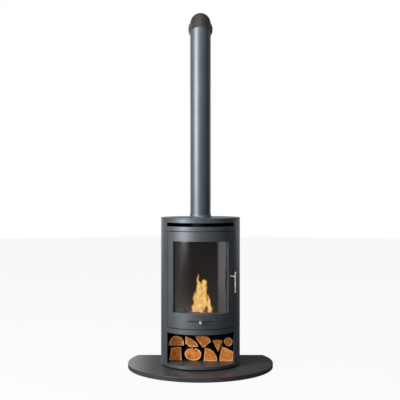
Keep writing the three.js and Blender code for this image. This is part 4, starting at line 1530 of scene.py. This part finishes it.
        cracks, crack_depths = [(number * 29 + 11) % count], self.PLAIN_CRACK_DEPTHS
        if number == self.NOTCHED:
            ways = [math.atan2(place.y - centre.y, place.x - centre.x) for place, mark in ring]
            aims = [math.radians(way) for way in self.CRACK_WAYS]
            cracks = [min(range(count), key=lambda i: abs(ways[i] - aim)) for aim in aims]
            crack_depths = self.CRACK_DEPTHS
        depths = [*self.RIM_DEPTHS, *(reach * share for share in self.INNER_SHARES)]
        for edge_row, y, way in ((rows[0], near, 1.0), (rows[-1], far, -1.0)):
            last = edge_row
            for depth in depths:
                row = []
                for i in range(count):
                    place = end_place(i, depth)
                    rough = noise.noise(Vector((place.x * 150, number, place.y * 150))) * 0.5
                    rough += noise.noise(Vector((place.x * 40, number + 5, place.y * 40))) * 1.1
                    sunk = 0.9 * MM + rough * 0.6 * MM
                    off = min(min((i - crack) % count, (crack - i) % count) for crack in cracks)
                    bark = max(0.55, ring[i][1]) * max(0.0, 1.0 - depth / self.RIM_WIDTH)
                    if off < len(crack_depths) and 0.1 * reach < depth < 0.85 * reach:
                        sunk += crack_depths[off]
                        # In the middle of a crack bark is set to 1.0, so the crack takes the dark bark
                        # colour: painted shade in the crack.
                        if off < len(crack_depths) - 1:
                            bark = 1.0
                    row.append(vertex(place, y + way * max(0.0, sunk), bark, 1.0))
                for i in range(count):
                    j = (i + 1) % count
                    made.faces.new((last[i], row[i], row[j], last[j]))
                last = row
            made.faces.new(last)
        bmesh.ops.recalc_face_normals(made, faces=made.faces)
        bmesh.ops.triangulate(made, faces=[face for face in made.faces if len(face.verts) > 4])
        return from_bmesh(node.replace("firewood_log", "split_log"), made, wood)


class STOVE_OT_fire(StovePiece, bpy.types.Operator):
    """The charred logs, the ember bed and the flames"""

    bl_idname = "stove.fire"
    bl_label = "Fire"

    FRONT = -58 * MM
    LOG_RADIUS = 18.8 * MM
    # Each tongue in mm: its distance back, then points of (x, height above the embers, half width).
    TALL = [(-4, -4, 30), (-12, 30, 34), (-16, 62, 32), (-14, 95, 31), (-6, 120, 28)]
    TALL += [(-12, 148, 19), (-8, 172, 15), (-17, 198, 8), (-13, 222, 5), (-20, 246, 0)]
    BROAD = [(14, -4, 26), (12, 40, 24), (20, 74, 20), (14, 106, 21), (22, 136, 22)]
    BROAD += [(17, 164, 20), (24, 186, 14), (19, 202, 0)]
    TONGUES = [
        (0.0, TALL),
        (9.0, BROAD),
        (-9.0, [(-30, -4, 15), (-38, 26, 14), (-30, 56, 13), (-36, 88, 8), (-33, 124, 0)]),
        (-14.0, [(52, -4, 12), (56, 22, 13), (51, 48, 10), (54, 76, 6), (47, 98, 3), (49, 116, 0)]),
        (18.0, [(36, -4, 16), (33, 26, 14), (39, 54, 10), (33, 82, 0)]),
        (-4.0, [(-48, -4, 9), (-44, 16, 8), (-50, 34, 4), (-46, 52, 0)]),
        (-20.0, [(6, -4, 13), (0, 28, 12), (8, 58, 9), (2, 92, 6), (9, 122, 0)]),
    ]
    # Nested skins of each tongue: share of its width, and warmth.
    SHELLS = ((0.98, 0.26), (0.74, 0.80), (0.46, 1.30))

    def make(self):
        self.logs()
        self.embers()
        self.flames()
        self.glow()

    def logs(self):
        char = charred_wood()
        for number, node in enumerate(("fire_log_1", "fire_log_2")):
            near, far = low(node), high(node)
            radius, short = self.LOG_RADIUS, 3 * MM
            middle = (near + far) / 2
            rise = (1 if number else -1) * (far.z - near.z - 2 * radius) / 2
            start = Vector((near.x + short, middle.y, middle.z + rise))
            end = Vector((far.x - short, middle.y, middle.z - rise))
            made = bmesh.new()
            count = 60
            rows = []
            along = (end - start).normalized()
            up = Vector((0, 1, 0)).cross(along).normalized()
            for k in range(count + 1):
                centre = start.lerp(end, k / count)
                taper = 1.0 - 0.1 * k / count
                closing = min(1.0, 0.86 + 0.14 * min(k, count - k) / 2)
                row = []
                for a in turns(40):
                    way = Vector((0, 1, 0)) * math.cos(a) + up * math.sin(a)
                    at = Vector((centre.x * 30, math.cos(a) * 1.2 + number * 9, math.sin(a) * 1.2))
                    blocky = 1 - 0.11 * abs(noise.noise(at * 2.3)) - 0.07 * abs(noise.noise(at * 6.0))
                    row.append(made.verts.new(centre + way * radius * taper * closing * blocky))
                rows.append(row)
            skin(made, rows)
            for row in (rows[0], rows[-1]):
                fan(made, row, made.verts.new(sum((v.co for v in row), Vector()) / len(row)))
            bmesh.ops.recalc_face_normals(made, faces=made.faces)
            piece = from_bmesh("burning_" + node[5:], made, char)
            place_piece(piece, "stove", "charred_wood", node)

    def embers(self):
        made = bmesh.new()
        centre = Vector((5 * MM, -22 * MM, EMBER_Z + 0.3 * MM))
        half = Vector((112 * MM, 78 * MM))
        count = 22
        rows = []
        for k in range(1, count + 1):
            r = k / count
            row = []
            for a in turns(72):
                lobe = 1 + 0.10 * math.sin(3 * a + 1) + 0.06 * math.sin(5 * a)
                reach = r * lobe
                place = centre + Vector((half.x * reach * math.cos(a), half.y * reach * math.sin(a), 0))
                lumps = noise.noise(place * 60) * 3.2 + noise.noise(place * 170) * 1.8
                place.z += max(0.0, (1 - r**2) * (10 + lumps * 1.5)) * MM
                row.append(made.verts.new(place))
            rows.append(row)
        skin(made, rows)
        fan(made, rows[0], made.verts.new(centre + Vector((0, 0, 11 * MM))))
        fan(made, rows[-1], made.verts.new(centre))
        bmesh.ops.recalc_face_normals(made, faces=made.faces)
        place_piece(from_bmesh("ember_bed", made, ash_bed()), "stove", "charred_wood")

    def flames(self):
        made = bmesh.new()
        heat = made.verts.layers.float.new("warmth")
        scale = sizes().flame_height / TALLEST_FLAME
        for number, (back, points) in enumerate(self.TONGUES):
            for width, warmth in self.SHELLS:
                self.shell(made, heat, number, back * MM, points, width, warmth, scale)
        bmesh.ops.recalc_face_normals(made, faces=made.faces)
        place_piece(from_bmesh("flames", made, flame()), "stove", "charred_wood")

    def shell(self, made, heat, number, back, points, width, warmth, scale):
        """One of the nested skins of a tongue of flame."""
        fine = 44
        spans = len(points) - 1
        rows = []
        for k in range(fine + 1):
            share = k / fine
            x, z, half = self.through(points, spans * share * (0.80 + 0.20 * width))
            foot, tip = 0.25 + 0.75 * min(1.0, k / 3), min(1.0, (fine - k) / 4)
            half = max(0.0, half) * width * foot * tip
            row = []
            for a in turns(28):
                curl = Vector((math.cos(a) * 1.3 + number * 5, math.sin(a) * 1.3, z * 0.045 + width * 2))
                flutter = 1 + 0.55 * noise.noise(curl)
                side = x + half * flutter * math.cos(a)
                depth = back + half * MM * 0.62 * flutter * math.sin(a)
                place = Vector((side * MM, self.FRONT + depth, EMBER_Z + 5 * MM + z * scale * MM))
                vertex = made.verts.new(place)
                rise = 1.0 - 0.25 * share - 0.5 * max(0.0, 1.0 - share / 0.16)
                vertex[heat] = max(0.0, min(1.0, warmth * rise * (1.0 - 0.45 * math.cos(a) ** 2)))
                row.append(vertex)
            rows.append(row)
        skin(made, rows)
        made.faces.new(rows[0])
        made.faces.new(rows[-1])

    @staticmethod
    def through(points, t):
        """A smooth curve through the points."""
        i = min(int(t), len(points) - 2)
        f = t - i
        before, here = points[max(i - 1, 0)], points[i]
        there, after = points[i + 1], points[min(i + 2, len(points) - 1)]
        values = []
        for p0, p1, p2, p3 in zip(before, here, there, after):
            slope, bend = p2 - p0, 2 * p0 - 5 * p1 + 4 * p2 - p3
            twist = 3 * p1 - p0 - 3 * p2 + p3
            values.append(0.5 * (2 * p1 + slope * f + bend * f**2 + twist * f**3))
        return values

    def glow(self):
        for name, height, power in (("fire_low", 40 * MM, 0.5), ("fire_high", 150 * MM, 0.75)):
            light = add_light(name, "POINT", (0, self.FRONT, EMBER_Z + height), power, (1.0, 0.50, 0.20))
            light.data.shadow_soft_size = 30 * MM
            light.visible_camera = False
            light.visible_glossy = False
            light.visible_transmission = False


class STOVE_OT_inner_parts(StovePiece, bpy.types.Operator):
    """The finishes of the pieces that keep their simple shape"""

    bl_idname = "stove.inner_parts"
    bl_label = "Inner parts"

    def make(self):
        finishes = {
            "stove_paint": stove_paint("inner_paint", look().paint),
            "inner_steel": inner_steel(),
            "cast_iron": cast_iron(),
            "bright_steel": bright_steel("pin_steel", (300.0, 300.0, 30.0)),
        }
        for entry in frame["record"]["subparts"]:
            if entry["material_slot"] in finishes:
                dress([entry["node"]], finishes[entry["material_slot"]])


# ------------------------------------------------------------------ panel
PIECES = (
    STOVE_OT_stage,
    STOVE_OT_inner_parts,
    STOVE_OT_hearth,
    STOVE_OT_casing,
    STOVE_OT_door,
    STOVE_OT_glass,
    STOVE_OT_seals,
    STOVE_OT_handle,
    STOVE_OT_air_control,
    STOVE_OT_firebox,
    STOVE_OT_flue,
    STOVE_OT_screws,
    STOVE_OT_firewood,
    STOVE_OT_fire,
)


class STOVE_PT_panel(bpy.types.Panel):
    """The stove's sizes, colours and pieces"""

    bl_idname = "STOVE_PT_panel"
    bl_label = "Stove"
    bl_space_type = "VIEW_3D"
    bl_region_type = "UI"
    bl_category = "Stove"

    def draw(self, context):
        for group in (context.scene.stove_finishes, context.scene.stove_sizes):
            box = self.layout.box()
            for name in group.__annotations__:
                box.prop(group, name)
        for piece in PIECES:
            self.layout.operator(piece.bl_idname)


CLASSES = (StoveFinishes, StoveSizes, *PIECES, STOVE_PT_panel)


def register():
    for one in CLASSES:
        bpy.utils.register_class(one)
    bpy.types.Scene.stove_finishes = bpy.props.PointerProperty(type=StoveFinishes)
    bpy.types.Scene.stove_sizes = bpy.props.PointerProperty(type=StoveSizes)


def unregister():
    del bpy.types.Scene.stove_sizes
    del bpy.types.Scene.stove_finishes
    for one in reversed(CLASSES):
        bpy.utils.unregister_class(one)


def main():
    register()
    for piece in PIECES:
        family, name = piece.bl_idname.split(".")
        getattr(getattr(bpy.ops, family), name)()


if __name__ == "__main__":
    main()
